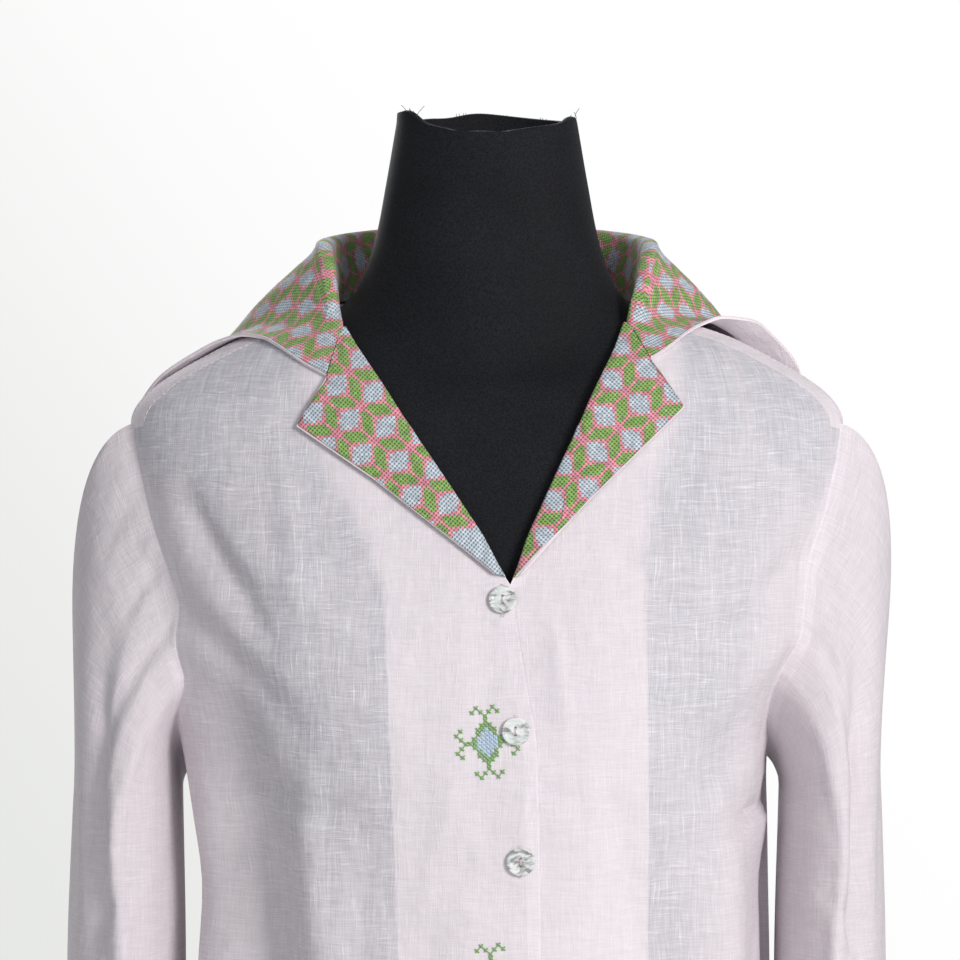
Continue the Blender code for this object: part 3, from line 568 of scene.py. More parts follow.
def grid_normals(grid, closed=False):
    """Normals of a grid of points by central differences, the second axis closed for a tube."""
    along = np.gradient(grid, axis=0)
    if closed:
        across = np.roll(grid, -1, axis=1) - np.roll(grid, 1, axis=1)
    else:
        across = np.gradient(grid, axis=1)
    return unit(np.cross(across, along))


def run_along(grid, axis):
    """Length along each line of the grid from its start, in the direction of the axis."""
    grid = np.moveaxis(grid, axis, 0)
    run = np.cumsum(np.linalg.norm(np.diff(grid, axis=0), axis=-1), axis=0)
    return np.moveaxis(np.concatenate([np.zeros((1,) + run.shape[1:]), run]), 0, axis)


ALL_EDGES = ("first_column", "last_column", "first_row", "last_row")


def edge_distance(grid, edges):
    """Distance from the named edges of the grid, measured along its lines."""
    down, across = run_along(grid, 0), run_along(grid, 1)
    found = {"first_row": down, "last_row": down[-1:] - down, "first_column": across,
             "last_column": across[:, -1:] - across}
    return np.min([found[name] for name in edges], axis=0)


def cloth_values(grid, sheer, backed, edges):
    """What the linen reads at each point: its greyness, how far it is doubled and how far its cut edges are."""
    flat = np.zeros(grid.shape[:2])
    return {"sheer": flat + sheer, "backed": flat + backed, "edge": edge_distance(grid, edges)}


def tube_map(grid):
    """Cloth coordinates in metres for a tube: across the thread of the weft, then up the warp."""
    grid = np.concatenate([grid, grid[:, :1]], axis=1)
    across = run_along(grid, 1)
    up = run_along(grid, 0).mean(axis=1, keepdims=True) + np.zeros(across.shape)
    return np.stack([across, up], axis=-1) * MM


def linked(name, data):
    """A new object in the scene."""
    made = bpy.data.objects.new(name, data)
    bpy.context.scene.collection.objects.link(made)
    return made


def add_object(name, points, faces, spec):
    mesh = bpy.data.meshes.new(name)
    mesh.from_pydata([Vector(p) * MM for p in points], [], faces)
    mesh.materials.append(spec)
    made = linked(name, mesh)
    mesh.shade_smooth()
    mesh.set_sharp_from_angle(angle=math.radians(CLOTH_SHARP))
    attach(made, "root")
    return made


def tube_faces(rows, count, capped=False):
    """Faces round a tube of rings of points, and over both of its ends if it is capped."""
    faces = []
    for row in range(rows - 1):
        for column in range(count):
            here, beside = row * count + column, row * count + (column + 1) % count
            faces.append([here, beside, beside + count, here + count])
    if capped:
        faces += [list(range(count))[::-1], list(range((rows - 1) * count, rows * count))]
    return faces


def shell(name, outer, inner, spec, uv, values, closed=False):
    """One closed body between two matching grids, with its cloth coordinates and its named values at each point."""
    rows, columns = outer.shape[:2]
    points = np.concatenate([outer.reshape(-1, 3), inner.reshape(-1, 3)])
    shift = rows * columns
    spans = columns if closed else columns - 1
    faces, places = [], []

    def add(corners, inside):
        faces.append([row * columns + column % columns + (shift if deep else 0)
                      for (row, column), deep in zip(corners, inside)])
        places.append([uv[row, column] for row, column in corners])

    for row in range(rows - 1):
        for column in range(spans):
            corners = [(row, column), (row, column + 1), (row + 1, column + 1), (row + 1, column)]
            add(corners, [False] * 4)
            add(corners[::-1], [True] * 4)
    border = [[(0, c), (0, c + 1)] for c in range(spans)]
    border += [[(rows - 1, c + 1), (rows - 1, c)] for c in range(spans)]
    if not closed:
        border += [[(r + 1, 0), (r, 0)] for r in range(rows - 1)]
        border += [[(r, columns - 1), (r + 1, columns - 1)] for r in range(rows - 1)]
    for a, b in border:
        add([b, a, a, b], [False, False, True, True])
    made = add_object(name, points, faces, spec)
    layer = made.data.uv_layers.new(name="cloth")
    layer.data.foreach_set("uv", np.array([spot for place in places for spot in place]).ravel())
    for label, value in values.items():
        both = np.concatenate([value.ravel(), value.ravel()])
        made.data.attributes.new(label, "FLOAT", "POINT").data.foreach_set("value", both)
    edit = bmesh.new()
    edit.from_mesh(made.data)
    bmesh.ops.recalc_face_normals(edit, faces=edit.faces)
    edit.to_mesh(made.data)
    edit.free()
    return made


class Nodes:
    """Builds the nodes of a material or a world with short calls. Each call gives back the socket that it makes."""

    def __init__(self, name, kind="materials", shader="Principled BSDF"):
        self.owner = getattr(bpy.data, kind).new(name)
        self.owner.use_nodes = True
        self.tree = self.owner.node_tree
        self.shader = self.tree.nodes[shader]

    def add(self, kind, inputs, output=0, **settings):
        node = self.tree.nodes.new(kind)
        for name, value in settings.items():
            setattr(node, name, value)
        for key, value in inputs.items():
            if isinstance(value, bpy.types.NodeSocket):
                self.tree.links.new(value, node.inputs[key])
            else:
                node.inputs[key].default_value = value
        return node.outputs[output]

    def maths(self, operation, *values, clamp=False):
        return self.add("ShaderNodeMath", dict(enumerate(values)), operation=operation, use_clamp=clamp)

    def range(self, value, low, high, to_low=0.0, to_high=1.0):
        inputs = {0: value, 1: low, 2: high, 3: to_low, 4: to_high}
        return self.add("ShaderNodeMapRange", inputs, interpolation_type="SMOOTHSTEP")

    def mix(self, share, first, second, blend="MIX"):
        return self.add("ShaderNodeMix", {0: share, 6: first, 7: second}, 2, data_type="RGBA", blend_type=blend)

    def value(self, name):
        return self.add("ShaderNodeAttribute", {}, 2, attribute_name=name)

    def cloth(self):
        return self.add("ShaderNodeUVMap", {}, uv_map="cloth")

    def place(self):
        return self.add("ShaderNodeTexCoord", {}, 3)

    def scaled(self, vector, x, y, z=1.0):
        return self.add("ShaderNodeVectorMath", {0: vector, 1: (x, y, z)}, operation="MULTIPLY")

    def noise(self, vector, scale, detail=2.0, roughness=0.5):
        return self.add("ShaderNodeTexNoise", {0: vector, 2: scale, 3: detail, 4: roughness})

    def times(self, colour, share):
        """The colour made lighter or darker by a number."""
        if isinstance(colour, tuple):
            colour = colour[:3]
        return self.add("ShaderNodeVectorMath", {0: colour, 3: share}, operation="SCALE")

    def bump(self, height, strength, distance, before=None):
        inputs = {"Strength": strength, "Distance": distance, "Height": height}
        if before is not None:
            inputs["Normal"] = before
        return self.add("ShaderNodeBump", inputs)

    def finish(self, colour, roughness, normal, **fixed):
        self.tree.links.new(colour, self.shader.inputs["Base Color"])
        self.tree.links.new(normal, self.shader.inputs["Normal"])
        if isinstance(roughness, bpy.types.NodeSocket):
            self.tree.links.new(roughness, self.shader.inputs["Roughness"])
        else:
            self.shader.inputs["Roughness"].default_value = roughness
        for name, value in fixed.items():
            self.shader.inputs[name.replace("_", " ")].default_value = value
        return self.owner


BACKED_PINK = (0.83, 0.765, 0.80, 1)
LIGHT_PINK = (0.765, 0.70, 0.73, 1)
OVER_BLACK = (0.60, 0.585, 0.63, 1)
EDGE_PINK = (0.80, 0.71, 0.745, 1)
BLUE_THREAD = (0.56, 0.64, 0.71, 1)
GREEN_THREAD = (0.27, 0.46, 0.12, 1)
PINK_THREAD = (0.82, 0.31, 0.37, 1)
# Painted shade between the stitches and in the holes between them
STITCH_GAP_SHADE = (0.28, 0.17, 0.18, 1)
STITCH_HOLE_SHADE = (0.05, 0.045, 0.05, 1)
BLACK = (0.007, 0.0075, 0.0095, 1)


def weave(nodes, cloth):
    """Height of a plain weave of uneven threads, and how thick the thread is."""
    weft = nodes.noise(nodes.scaled(cloth, 70, 1900), 1.0, 3.0)
    warp = nodes.noise(nodes.scaled(cloth, 1900, 60), 1.0, 3.0)
    slub_weft = nodes.range(nodes.noise(nodes.scaled(cloth, 85, 1250), 1.0, 2.0), 0.54, 0.74)
    slub_warp = nodes.range(nodes.noise(nodes.scaled(cloth, 1250, 60), 1.0, 2.0), 0.55, 0.75)
    return nodes.maths("ADD", weft, warp), nodes.maths("ADD", slub_weft, slub_warp)


def linen():
    """Slubby half-sheer linen: greyer where it is single over the black form, pinker where it is doubled or free, with
    a painted highlight along its seams and edges.
    """
    nodes = Nodes("pink_linen")
    waver = nodes.add("ShaderNodeTexNoise", {0: nodes.place(), 2: 38.0, 3: 2.0}, 1)
    cloth = {0: nodes.cloth(), 1: nodes.scaled(waver, 0.0045, 0.0045)}
    cloth = nodes.add("ShaderNodeVectorMath", cloth, operation="ADD")
    threads, slubs = weave(nodes, cloth)
    streaks = nodes.noise(nodes.scaled(cloth, 70, 7), 1.0, 3.0, 0.6)
    blotch = nodes.noise(nodes.place(), 16.0, 3.0, 0.6)
    uneven = nodes.maths("ADD", streaks, blotch)
    sheer = nodes.maths("MULTIPLY", nodes.value("sheer"), nodes.range(uneven, 0.7, 1.3, 0.72, 1.22), clamp=True)
    backed = nodes.range(nodes.value("backed"), -0.7, 0.7)
    colour = nodes.mix(sheer, LIGHT_PINK, OVER_BLACK)
    colour = nodes.mix(backed, colour, nodes.mix(nodes.maths("MULTIPLY", sheer, 0.12), BACKED_PINK, OVER_BLACK))
    # Painted highlight: a thin lighter line along each seam and cut edge. The paler band a little further in is the
    # doubled seam allowance.
    seam = nodes.range(nodes.value("edge"), 0.6, 1.4, 1.06, 1.0)
    allowance = nodes.range(nodes.value("edge"), 7.0, 8.2, 1.06, 1.0)
    tone = nodes.maths("MULTIPLY", seam, allowance)
    shown = nodes.maths("MULTIPLY", sheer, nodes.maths("SUBTRACT", 1.0, backed))
    strength = nodes.maths("MULTIPLY_ADD", shown, 0.4, 0.24)
    plain = nodes.maths("MULTIPLY", nodes.maths("SUBTRACT", threads, 1.0), strength)
    tone = nodes.maths("MULTIPLY", tone, nodes.maths("ADD", plain, 1.0))
    contrast = nodes.maths("MULTIPLY_ADD", shown, 0.2, 0.05)
    tone = nodes.maths("MULTIPLY", tone, nodes.maths("MULTIPLY_ADD", slubs, contrast, 0.965))
    colour = nodes.times(colour, tone)
    height = nodes.maths("MULTIPLY_ADD", slubs, 0.6, threads)
    normal = nodes.bump(height, 0.5, 0.00035)
    crumple = nodes.noise(nodes.place(), 30.0, 3.0, 0.5)
    normal = nodes.bump(crumple, 0.6, 0.006, normal)
    return nodes.finish(colour, 0.82, normal, Sheen_Weight=0.12, Sheen_Roughness=0.45, Specular_IOR_Level=0.2)


def folded(nodes, value, period):
    """Distance of a number from the nearest even multiple of the period."""
    moved = nodes.maths("ADD", value, period)
    return nodes.maths("ABSOLUTE", nodes.maths("SUBTRACT", nodes.maths("FLOORED_MODULO", moved, 2 * period), period))


def chart(nodes, across, up):
    """How far a stitch lies inside the blue rhombi, and how near to their outlines and to the joining lines."""
    x = folded(nodes, across, REPEAT_LENGTH)
    y = folded(nodes, up, RHOMB_HALF_HEIGHT)
    side = math.hypot(RHOMB_HALF_LENGTH, RHOMB_HALF_HEIGHT)
    scale = RHOMB_HALF_LENGTH * RHOMB_HALF_HEIGHT / side

    def depth(along, high):
        share = nodes.maths("ADD", nodes.maths("DIVIDE", along, RHOMB_HALF_LENGTH),
                            nodes.maths("DIVIDE", high, RHOMB_HALF_HEIGHT))
        return nodes.maths("MULTIPLY", nodes.maths("SUBTRACT", 1.0, share), scale)

    far_x = nodes.maths("SUBTRACT", REPEAT_LENGTH, x)
    far_y = nodes.maths("SUBTRACT", RHOMB_HALF_HEIGHT, y)
    inside = nodes.maths("MAXIMUM", depth(x, y), depth(far_x, far_y))
    line_a = nodes.maths("ADD", y, nodes.maths("LESS_THAN", x, RHOMB_HALF_LENGTH))
    line_b = nodes.maths("ADD", far_y, nodes.maths("LESS_THAN", far_x, RHOMB_HALF_LENGTH))
    return inside, nodes.maths("MINIMUM", line_a, line_b)


def stitched():
    """Linen covered with slanted stitches in a repeat of blue rhombi, pink outlines and green leaves, with painted
    shade in the gaps and holes between the stitches and along the inside of the plain rim.
    """
    nodes = Nodes("stitched_band")
    cloth = nodes.cloth()
    stitches = nodes.scaled(cloth, 1 / (STITCH_LENGTH * MM), 1 / (STITCH_HEIGHT * MM))
    parts = [nodes.add("ShaderNodeSeparateXYZ", {0: stitches}, axis) for axis in range(2)]
    cells = [nodes.maths("ROUND", part) for part in parts]
    within = [nodes.maths("SUBTRACT", part, cell) for part, cell in zip(parts, cells)]
    inside, line = chart(nodes, *cells)
    whole = nodes.range(nodes.value("blue_end"), -0.3, 0.3)
    blue = nodes.maths("MAXIMUM", nodes.maths("GREATER_THAN", inside, OUTLINE[1]), whole)
    pink = nodes.maths("MAXIMUM", nodes.maths("GREATER_THAN", inside, OUTLINE[0]),
                       nodes.maths("LESS_THAN", line, LINE_WIDTH))
    cell = nodes.add("ShaderNodeCombineXYZ", {0: cells[0], 1: cells[1]})
    chance = nodes.add("ShaderNodeTexWhiteNoise", {0: cell}, noise_dimensions="3D")
    colour = nodes.mix(pink, GREEN_THREAD, PINK_THREAD)
    colour = nodes.mix(blue, colour, BLUE_THREAD)
    tone = nodes.maths("MULTIPLY_ADD", chance, 0.3, 0.88)
    tone = nodes.maths("MULTIPLY", tone, nodes.range(nodes.noise(cloth, 190.0, 2.0), 0.3, 0.7, 0.88, 1.12))
    colour = nodes.times(colour, tone)
    slant = nodes.maths("ABSOLUTE", nodes.maths("MULTIPLY_ADD", within[1], -0.5, within[0]))
    end = nodes.maths("ABSOLUTE", within[1])
    thread = nodes.maths("MULTIPLY", nodes.range(slant, 0.3, 0.56, 1.0, 0.0), nodes.range(end, 0.4, 0.5, 1.0, 0.5))
    # Painted shade in the gaps between the slanted stitches
    colour = nodes.mix(nodes.range(thread, 0.0, 0.5), nodes.mix(0.25, colour, STITCH_GAP_SHADE), colour)
    # Painted shade in the holes between the stitches, a little lighter among the blue and pink stitches
    waves = [nodes.maths("COSINE", nodes.maths("MULTIPLY", part, 2 * math.pi)) for part in parts]
    hole = nodes.range(nodes.maths("ADD", *waves), -0.3, -1.7)
    light = nodes.maths("MULTIPLY_ADD", nodes.maths("MAXIMUM", blue, pink), 0.24, 0.1)
    colour = nodes.mix(nodes.maths("MULTIPLY", hole, 0.95), colour, nodes.mix(light, STITCH_HOLE_SHADE, colour))
    thread = nodes.maths("MULTIPLY_ADD", hole, -0.8, thread)
    # Painted shade: a darker line just inside the plain rim
    shade = nodes.range(nodes.maths("ABSOLUTE", nodes.maths("SUBTRACT", nodes.value("edge"), EDGE_BAND + 0.25)),
                        0.0, 0.5, 0.55, 1.0)
    colour = nodes.times(colour, shade)
    rim = nodes.range(nodes.value("edge"), EDGE_BAND - 0.15, EDGE_BAND + 0.15, 1.0, 0.0)
    threads, _ = weave(nodes, cloth)
    colour = nodes.mix(rim, colour, nodes.times(EDGE_PINK, nodes.range(threads, 0.75, 1.25, 0.88, 1.1)))
    raised = nodes.maths("MULTIPLY", thread, nodes.maths("SUBTRACT", 1.0, rim))
    normal = nodes.bump(nodes.maths("MULTIPLY_ADD", threads, 0.12, raised), 0.8, 0.0005)
    return nodes.finish(colour, 0.7, normal, Sheen_Weight=0.15, Specular_IOR_Level=0.35)


def jersey():
    nodes = Nodes("black_jersey")
    place = nodes.place()
    fuzz = nodes.noise(nodes.scaled(place, 900, 900, 900), 1.0, 2.0)
    wear = nodes.noise(place, 14.0, 3.0)
    tone = nodes.maths("MULTIPLY", nodes.range(fuzz, 0.3, 0.7, 0.6, 1.7), nodes.range(wear, 0.3, 0.7, 0.8, 1.3))
    colour = nodes.times(BLACK, tone)
    normal = nodes.bump(fuzz, 0.5, 0.0003)
    normal = nodes.bump(nodes.noise(place, 26.0, 2.0), 0.25, 0.002, normal)
    return nodes.finish(colour, 0.75, normal, Sheen_Weight=0.08, Sheen_Roughness=0.4, Specular_IOR_Level=0.18)


def pearl():
    """Mother-of-pearl: cloudy layers of silver, grey and a little green under a clear polish."""
    nodes = Nodes("shell")
    place = nodes.place()
    bent = nodes.add("ShaderNodeVectorMath", {0: place, 1: nodes.scaled(
        nodes.add("ShaderNodeTexNoise", {0: place, 2: 110.0, 3: 2.0}, 1), 0.007, 0.007, 0.007)}, operation="ADD")
    bands = nodes.noise(nodes.scaled(bent, 150, 150, 420), 1.0, 3.0, 0.6)
    cloud = nodes.noise(bent, 160.0, 2.0)
    colour = nodes.mix(nodes.range(bands, 0.36, 0.6), (0.26, 0.27, 0.26, 1), (0.86, 0.87, 0.85, 1))
    colour = nodes.mix(nodes.range(cloud, 0.45, 0.62, 0.0, 0.6), colour, (0.70, 0.78, 0.76, 1))
    normal = nodes.bump(bands, 0.2, 0.0003)
    return nodes.finish(colour, 0.2, normal, Coat_Weight=0.6, Coat_Roughness=0.08)


def thread_material(name, colour):
    nodes = Nodes(name)
    twist = nodes.noise(nodes.scaled(nodes.place(), 2600, 2600, 2600), 1.0, 2.0)
    tinted = nodes.times(colour, nodes.range(twist, 0.3, 0.7, 0.72, 1.25))
    return nodes.finish(tinted, 0.6, nodes.bump(twist, 0.5, 0.0002), Sheen_Weight=0.3)


LINEN = linen()
STITCHED = stitched()
JERSEY = jersey()
PEARL = pearl()
SEWING = thread_material("sewing_thread", (0.80, 0.68, 0.73, 1))
GREEN = thread_material("green_thread", (0.21, 0.42, 0.12, 1))
LIGHT_BLUE = thread_material("blue_thread", (0.52, 0.66, 0.80, 1))


def stand_for(made, node):
    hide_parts(node)
    return made


def bars(name, starts, ends, radius, spec, sides=6):
    """Short threads from each start to its end, a little thinner at both tips, in one mesh."""
    starts, ends = np.asarray(starts, float), np.asarray(ends, float)
    along = unit(ends - starts)
    helper = np.where(np.abs(along[:, 2:3]) > 0.9, [[1.0, 0, 0]], [[0, 0, 1.0]])
    across = unit(np.cross(along, helper))
    beside = np.cross(along, across)
    rings = []
    for share, size in ((0, 0.45), (0.14, 1.0), (0.86, 1.0), (1, 0.45)):
        for turn in np.linspace(0, 2 * math.pi, sides, endpoint=False):
            offset = across * math.cos(turn) + beside * math.sin(turn)
            rings.append(starts * (1 - share) + ends * share + offset * radius * size)
    points = np.array(rings).transpose(1, 0, 2)
    tube = tube_faces(4, sides, capped=True)
    faces = [[4 * sides * bar + corner for corner in face] for bar in range(len(starts)) for face in tube]
    made = add_object(name, points.reshape(-1, 3), faces, spec)
    return made


def stitch_row(line):
    """Starts and ends of stitches along a line of points."""
    run = run_along(line, 0)
    starts = np.arange(TOPSTITCH_GAP, run[-1] - TOPSTITCH, TOPSTITCH + TOPSTITCH_GAP)
    return [np.stack([np.interp(spots, run, line[:, axis]) for axis in range(3)], axis=-1)
            for spots in (starts, starts + TOPSTITCH)]


def front_lift(angle, side):
    """The wearer's right front lies over the left one, so it stands out by LAP_LIFT from just before the lap."""
    if side == "left":
        return np.zeros(np.shape(angle))
    return LAP_LIFT * (1 - smooth_step(*LAP_FADE, angle))


def hem_level():
    return float(np.interp(HEM_Z, FORM.column("side_z"), np.arange(len(FORM.names))))


def roll_line(side, factor=1):
    """Levels and angles of the front's rows along the roll line, from the break to where the collar starts."""
    roll = line_places(BREAK, V_NECK[side]["roll_top"], 13 if factor == 1 else 49)
    start, top = roll[0, 1], roll[-1, 1]
    levels = [start, start + 0.2, start + 0.45]
    levels += [level for level in [7.35, 7.7] + SHOULDER_ROWS if level < top - 0.1] + [top]
    levels = finer(levels, factor)
    return levels, np.interp(levels, roll[:, 1], roll[:, 0])


def front_edge(z, inset=0):
    """x of the top front's edge at a height, or of a line inset from it."""
    edge_x, edge_z = np.array(FRONT_EDGE[::-1]).T
    return monotone(edge_z, edge_x - inset, z)


def armhole_turns(part, levels):
    """Angles of the armhole's edge past the side of the body, with none below the underarm."""
    knots, turns = zip(*ARMHOLE[part])
    past = np.where(levels < UNDERARM, 0.0, monotone(knots, turns, levels))
    return np.where(levels >= knots[-1], SHOULDER_SEAM, past)


def front_boundary(side):
    """Levels of the front's rows, with the angles of its side edge and of its middle edge."""
    roll_levels, roll_angles = roll_line(side, FINE_ROWS)
    inset, neck_angle = (UNDERLAP, NECK_EDGE) if side == "left" else (0, 180 - NECK_EDGE)
    start, top = roll_levels[0], roll_levels[-1]
    below = np.concatenate([np.linspace(hem_level(), UNDERARM, 8), [4.9, 5.25, 5.65, 6.05], [start - UNDER_ROW]])
    below = finer(below, FINE_ROWS)
    front_z = np.interp(below, np.arange(len(FORM.names)), FORM.column("front_z"))
    inner_below = front_place(front_edge(front_z, inset), front_z)[:, 0]
    above = finer([top] + [level for level in SHOULDER_ROWS + [NECK_END] if level > top], FINE_ROWS)[1:]
    inner_above = roll_angles[-1] + (neck_angle - roll_angles[-1]) * (above - top) / (NECK_END - top)
    levels = np.concatenate([below, roll_levels, above])
    inner = np.concatenate([inner_below, roll_angles, inner_above])
    outer = armhole_turns("front", levels)
    return levels, outer if side == "left" else 180 - outer, inner


def sheer_over_form(angle, level):
    """How grey the single cloth looks: most where the black form is close behind it, least beside the form."""
    off = np.maximum(ease_off(angle, level) + fold_depth(angle, level), 0)
    across = np.abs(shirt_point(angle, level)[..., 0]) / read(FORM, "width", level)
    beside = smooth_step(*FORM_SIDE, across) * (1 - smooth_step(*SHOULDER_LEVELS, level))
    return (0.5 + 0.5 * np.exp(-off / SHEER_REACH)) * (1 - SIDE_LOSS * beside)


def straight_map(grid, x_start):
    """Cloth coordinates in metres for a hanging panel: its warp threads hang straight and its weft lies level."""
    run = run_along(grid, 1)
    x = grid[..., 0]
    order = np.sign(x[:, -1] - x[:, 0])
    start = [np.interp(x_start * sign, row * sign, along) for sign, row, along in zip(order, x, run)]
    return np.stack([run - np.array(start)[:, None], grid[..., 2]], axis=-1) * MM


def front(side):
    columns = FRONT_COLUMNS * FINE_COLUMNS + 1
    levels, outer, inner = front_boundary(side)
    share = np.linspace(0, 1, columns)
    angles = outer[:, None] + (inner - outer)[:, None] * share
    levels = levels[:, None]
    grid = shirt_point(angles, levels, front_lift(angles, side))
    normals = grid_normals(grid) * (-1 if side == "left" else 1)
    facing_x, facing_z = np.array(FACING_EDGE[side][::-1]).T
    edge_x = np.interp(grid[..., 2], facing_z, facing_x)
    backed = grid[..., 0] - edge_x if side == "right" else edge_x - grid[..., 0]
    backed = backed / (1 + FACING_BLUR * smooth_step(*FACING_BLUR_Z, grid[..., 2]))
    turned_in = np.where(levels >= FORM.level("tip"), SHOULDER_STRIP - run_along(grid, 1), NOWHERE)
    backed = np.maximum(backed, turned_in)
    values = cloth_values(grid, sheer_over_form(angles, levels), backed, ALL_EDGES)
    uv = straight_map(grid, WARP_START[side])
    made = shell("front_panel_" + side, grid, grid - normals * WALL, LINEN, uv, values)
    return stand_for(made, "front_" + side), grid, normals


def back():
    levels = np.concatenate([
        np.linspace(hem_level(), UNDERARM, 8), BACK_ARMHOLE_ROWS, SHOULDER_ROWS, [NECK_END],
    ])
    levels = finer(levels, FINE_ROWS)
    share = np.linspace(-1, 1, BACK_COLUMNS * FINE_COLUMNS + 1)
    angles = 270 + (90 + armhole_turns("back", levels))[:, None] * share
    levels = levels[:, None]
    grid = shirt_point(angles, levels)
    normals = -grid_normals(grid)
    values = cloth_values(grid, sheer_over_form(angles, levels), grid[..., 2] - YOKE_Z, ALL_EDGES)
    uv = straight_map(grid, 0.0)
    made = shell("back_panel", grid, grid - normals * WALL, LINEN, uv, values)
    return stand_for(made, "back"), grid, normals


def armhole_ring(side):
    """Points of the armhole seam, down the back from the shoulder, with each one's turn round the sleeve."""
    rows = {"front": front_boundary(side)[0], "back": finer([UNDERARM] + BACK_ARMHOLE_ROWS + [8.0], FINE_ROWS)}
    spots, turns = {}, {}
    for name, levels in rows.items():
        levels = levels[(levels >= UNDERARM - 1e-6) & (levels <= 8.0 + 1e-6)]
        angles = armhole_turns(name, levels)
        line = shirt_point(angles if side == "left" else 180 - angles, levels)
        run = run_along(line, 0)
        spots[name], turns[name] = line, 180 * run / run[-1]
    ring = np.concatenate([spots["front"], spots["back"][::-1][1:-1]])
    turn = np.concatenate([turns["front"], (360 - turns["back"])[::-1][1:-1]])
    return ring, turn


def sleeve_section(table, z, turns):
    """Points of the sleeve at a height, straight down from the underarm at turn 0."""
    heights = table.column("z")[::-1]
    values = {name: monotone(heights, table.column(name)[::-1], z) for name in table.columns[1:]}
    angle = np.radians(turns)
    sign = math.copysign(1, values["centre_x"])
    x = values["centre_x"] - sign * values["half_width"] * np.cos(angle)
    y = values["centre_y"] - values["half_depth"] * np.sin(angle)
    return np.stack([x, y, np.full(len(turns), float(z))], axis=-1)


def sleeve_grid(side):
    table = SLEEVE[side]
    sign = 1 if side == "left" else -1
    start, turns = armhole_ring(side)
    top_z = table.column("z")[0]
    end = sleeve_section(table, top_z, turns)
    upper = ((1 - np.cos(np.radians(turns))) / 2)[:, None]
    leave = unit(upper * np.array([sign, 0, CAP_TOP_DROP]) + (1 - upper) * np.array([sign, 0, CAP_UNDER_DROP]))
    reach = np.linalg.norm(end - start, axis=1)[:, None]
    rows = []
    for share in finer(CAP_ROWS, FINE_ROWS):
        square, cube = share**2, share**3
        rows.append(
            start * (2 * cube - 3 * square + 1) + end * (3 * square - 2 * cube)
            + leave * reach * CAP_REACH * (cube - 2 * square + share)
            + np.array([0, 0, -1]) * reach * (cube - square)
        )
    below = finer([top_z] + SLEEVE_ROWS, FINE_ROWS)[1:]
    rows += [sleeve_section(table, z, turns) for z in below]
    grid = np.array(rows)
    inward = grid_normals(grid, closed=True) * sign
    depth = np.zeros(grid.shape[:2])
    z = grid[..., 2]
    for turn, low, high, spread, deep in SLEEVE_FOLDS.values:
        away = (turns - turn + 180) % 360 - 180
        reach = smooth_step(low - FOLD_START, low + FOLD_WHOLE, z) * (1 - smooth_step(high - FOLD_FADE, high, z))
        depth += deep * np.exp(-((away / spread) ** 2)) * reach
    for turn_a, z_a, turn_b, z_b, width, deep in SLEEVE_CREASES.values:
        depth += line_wave(turns[None, :], z, turn_a, z_a, turn_b, z_b, width, deep)
    depth *= smooth_step(0, 6, np.arange(len(rows)))[:, None]
    return grid + inward * depth[..., None], sign


def sleeve(side):
    grid, sign = sleeve_grid(side)
    normals = -grid_normals(grid, closed=True) * sign
    values = cloth_values(grid, SLEEVE_SHEER, NOWHERE, ["first_row", "last_row"])
    made = shell("sleeve_panel_" + side, grid, grid - normals * WALL, LINEN, tube_map(grid), values, closed=True)
    return stand_for(made, "sleeve_" + side), grid, normals


def collar_neck(side, at):
    """Angle and level of the collar's seam: along the straight gorge, then up to the neck and round the back."""
    shares, names = COLLAR.column("share"), COLLAR.names
    notch, roll_top = np.array(V_NECK[side]["notch"]), np.array(V_NECK[side]["roll_top"])
    gorge_end = shares[names.index("roll_top")]
    along = np.clip(at / gorge_end, 0, 1)[:, None]
    line = notch * (1 - along) + roll_top * along
    gorge = front_place(line[:, 0], line[:, 1])
    corner = front_place(*roll_top)
    if side == "right":
        gorge[:, 0], corner[0] = 180 - gorge[:, 0], 180 - corner[0]
    first = names.index("roll_top")
    knots = [np.append(corner[k], COLLAR.column(name)[first + 1:]) for k, name in
             enumerate(("neck_angle", "neck_level"))]
    neck = np.stack([monotone(shares[first:], values, np.maximum(at, gorge_end)) for values in knots], axis=-1)
    return np.where((at < gorge_end)[:, None], gorge, neck)


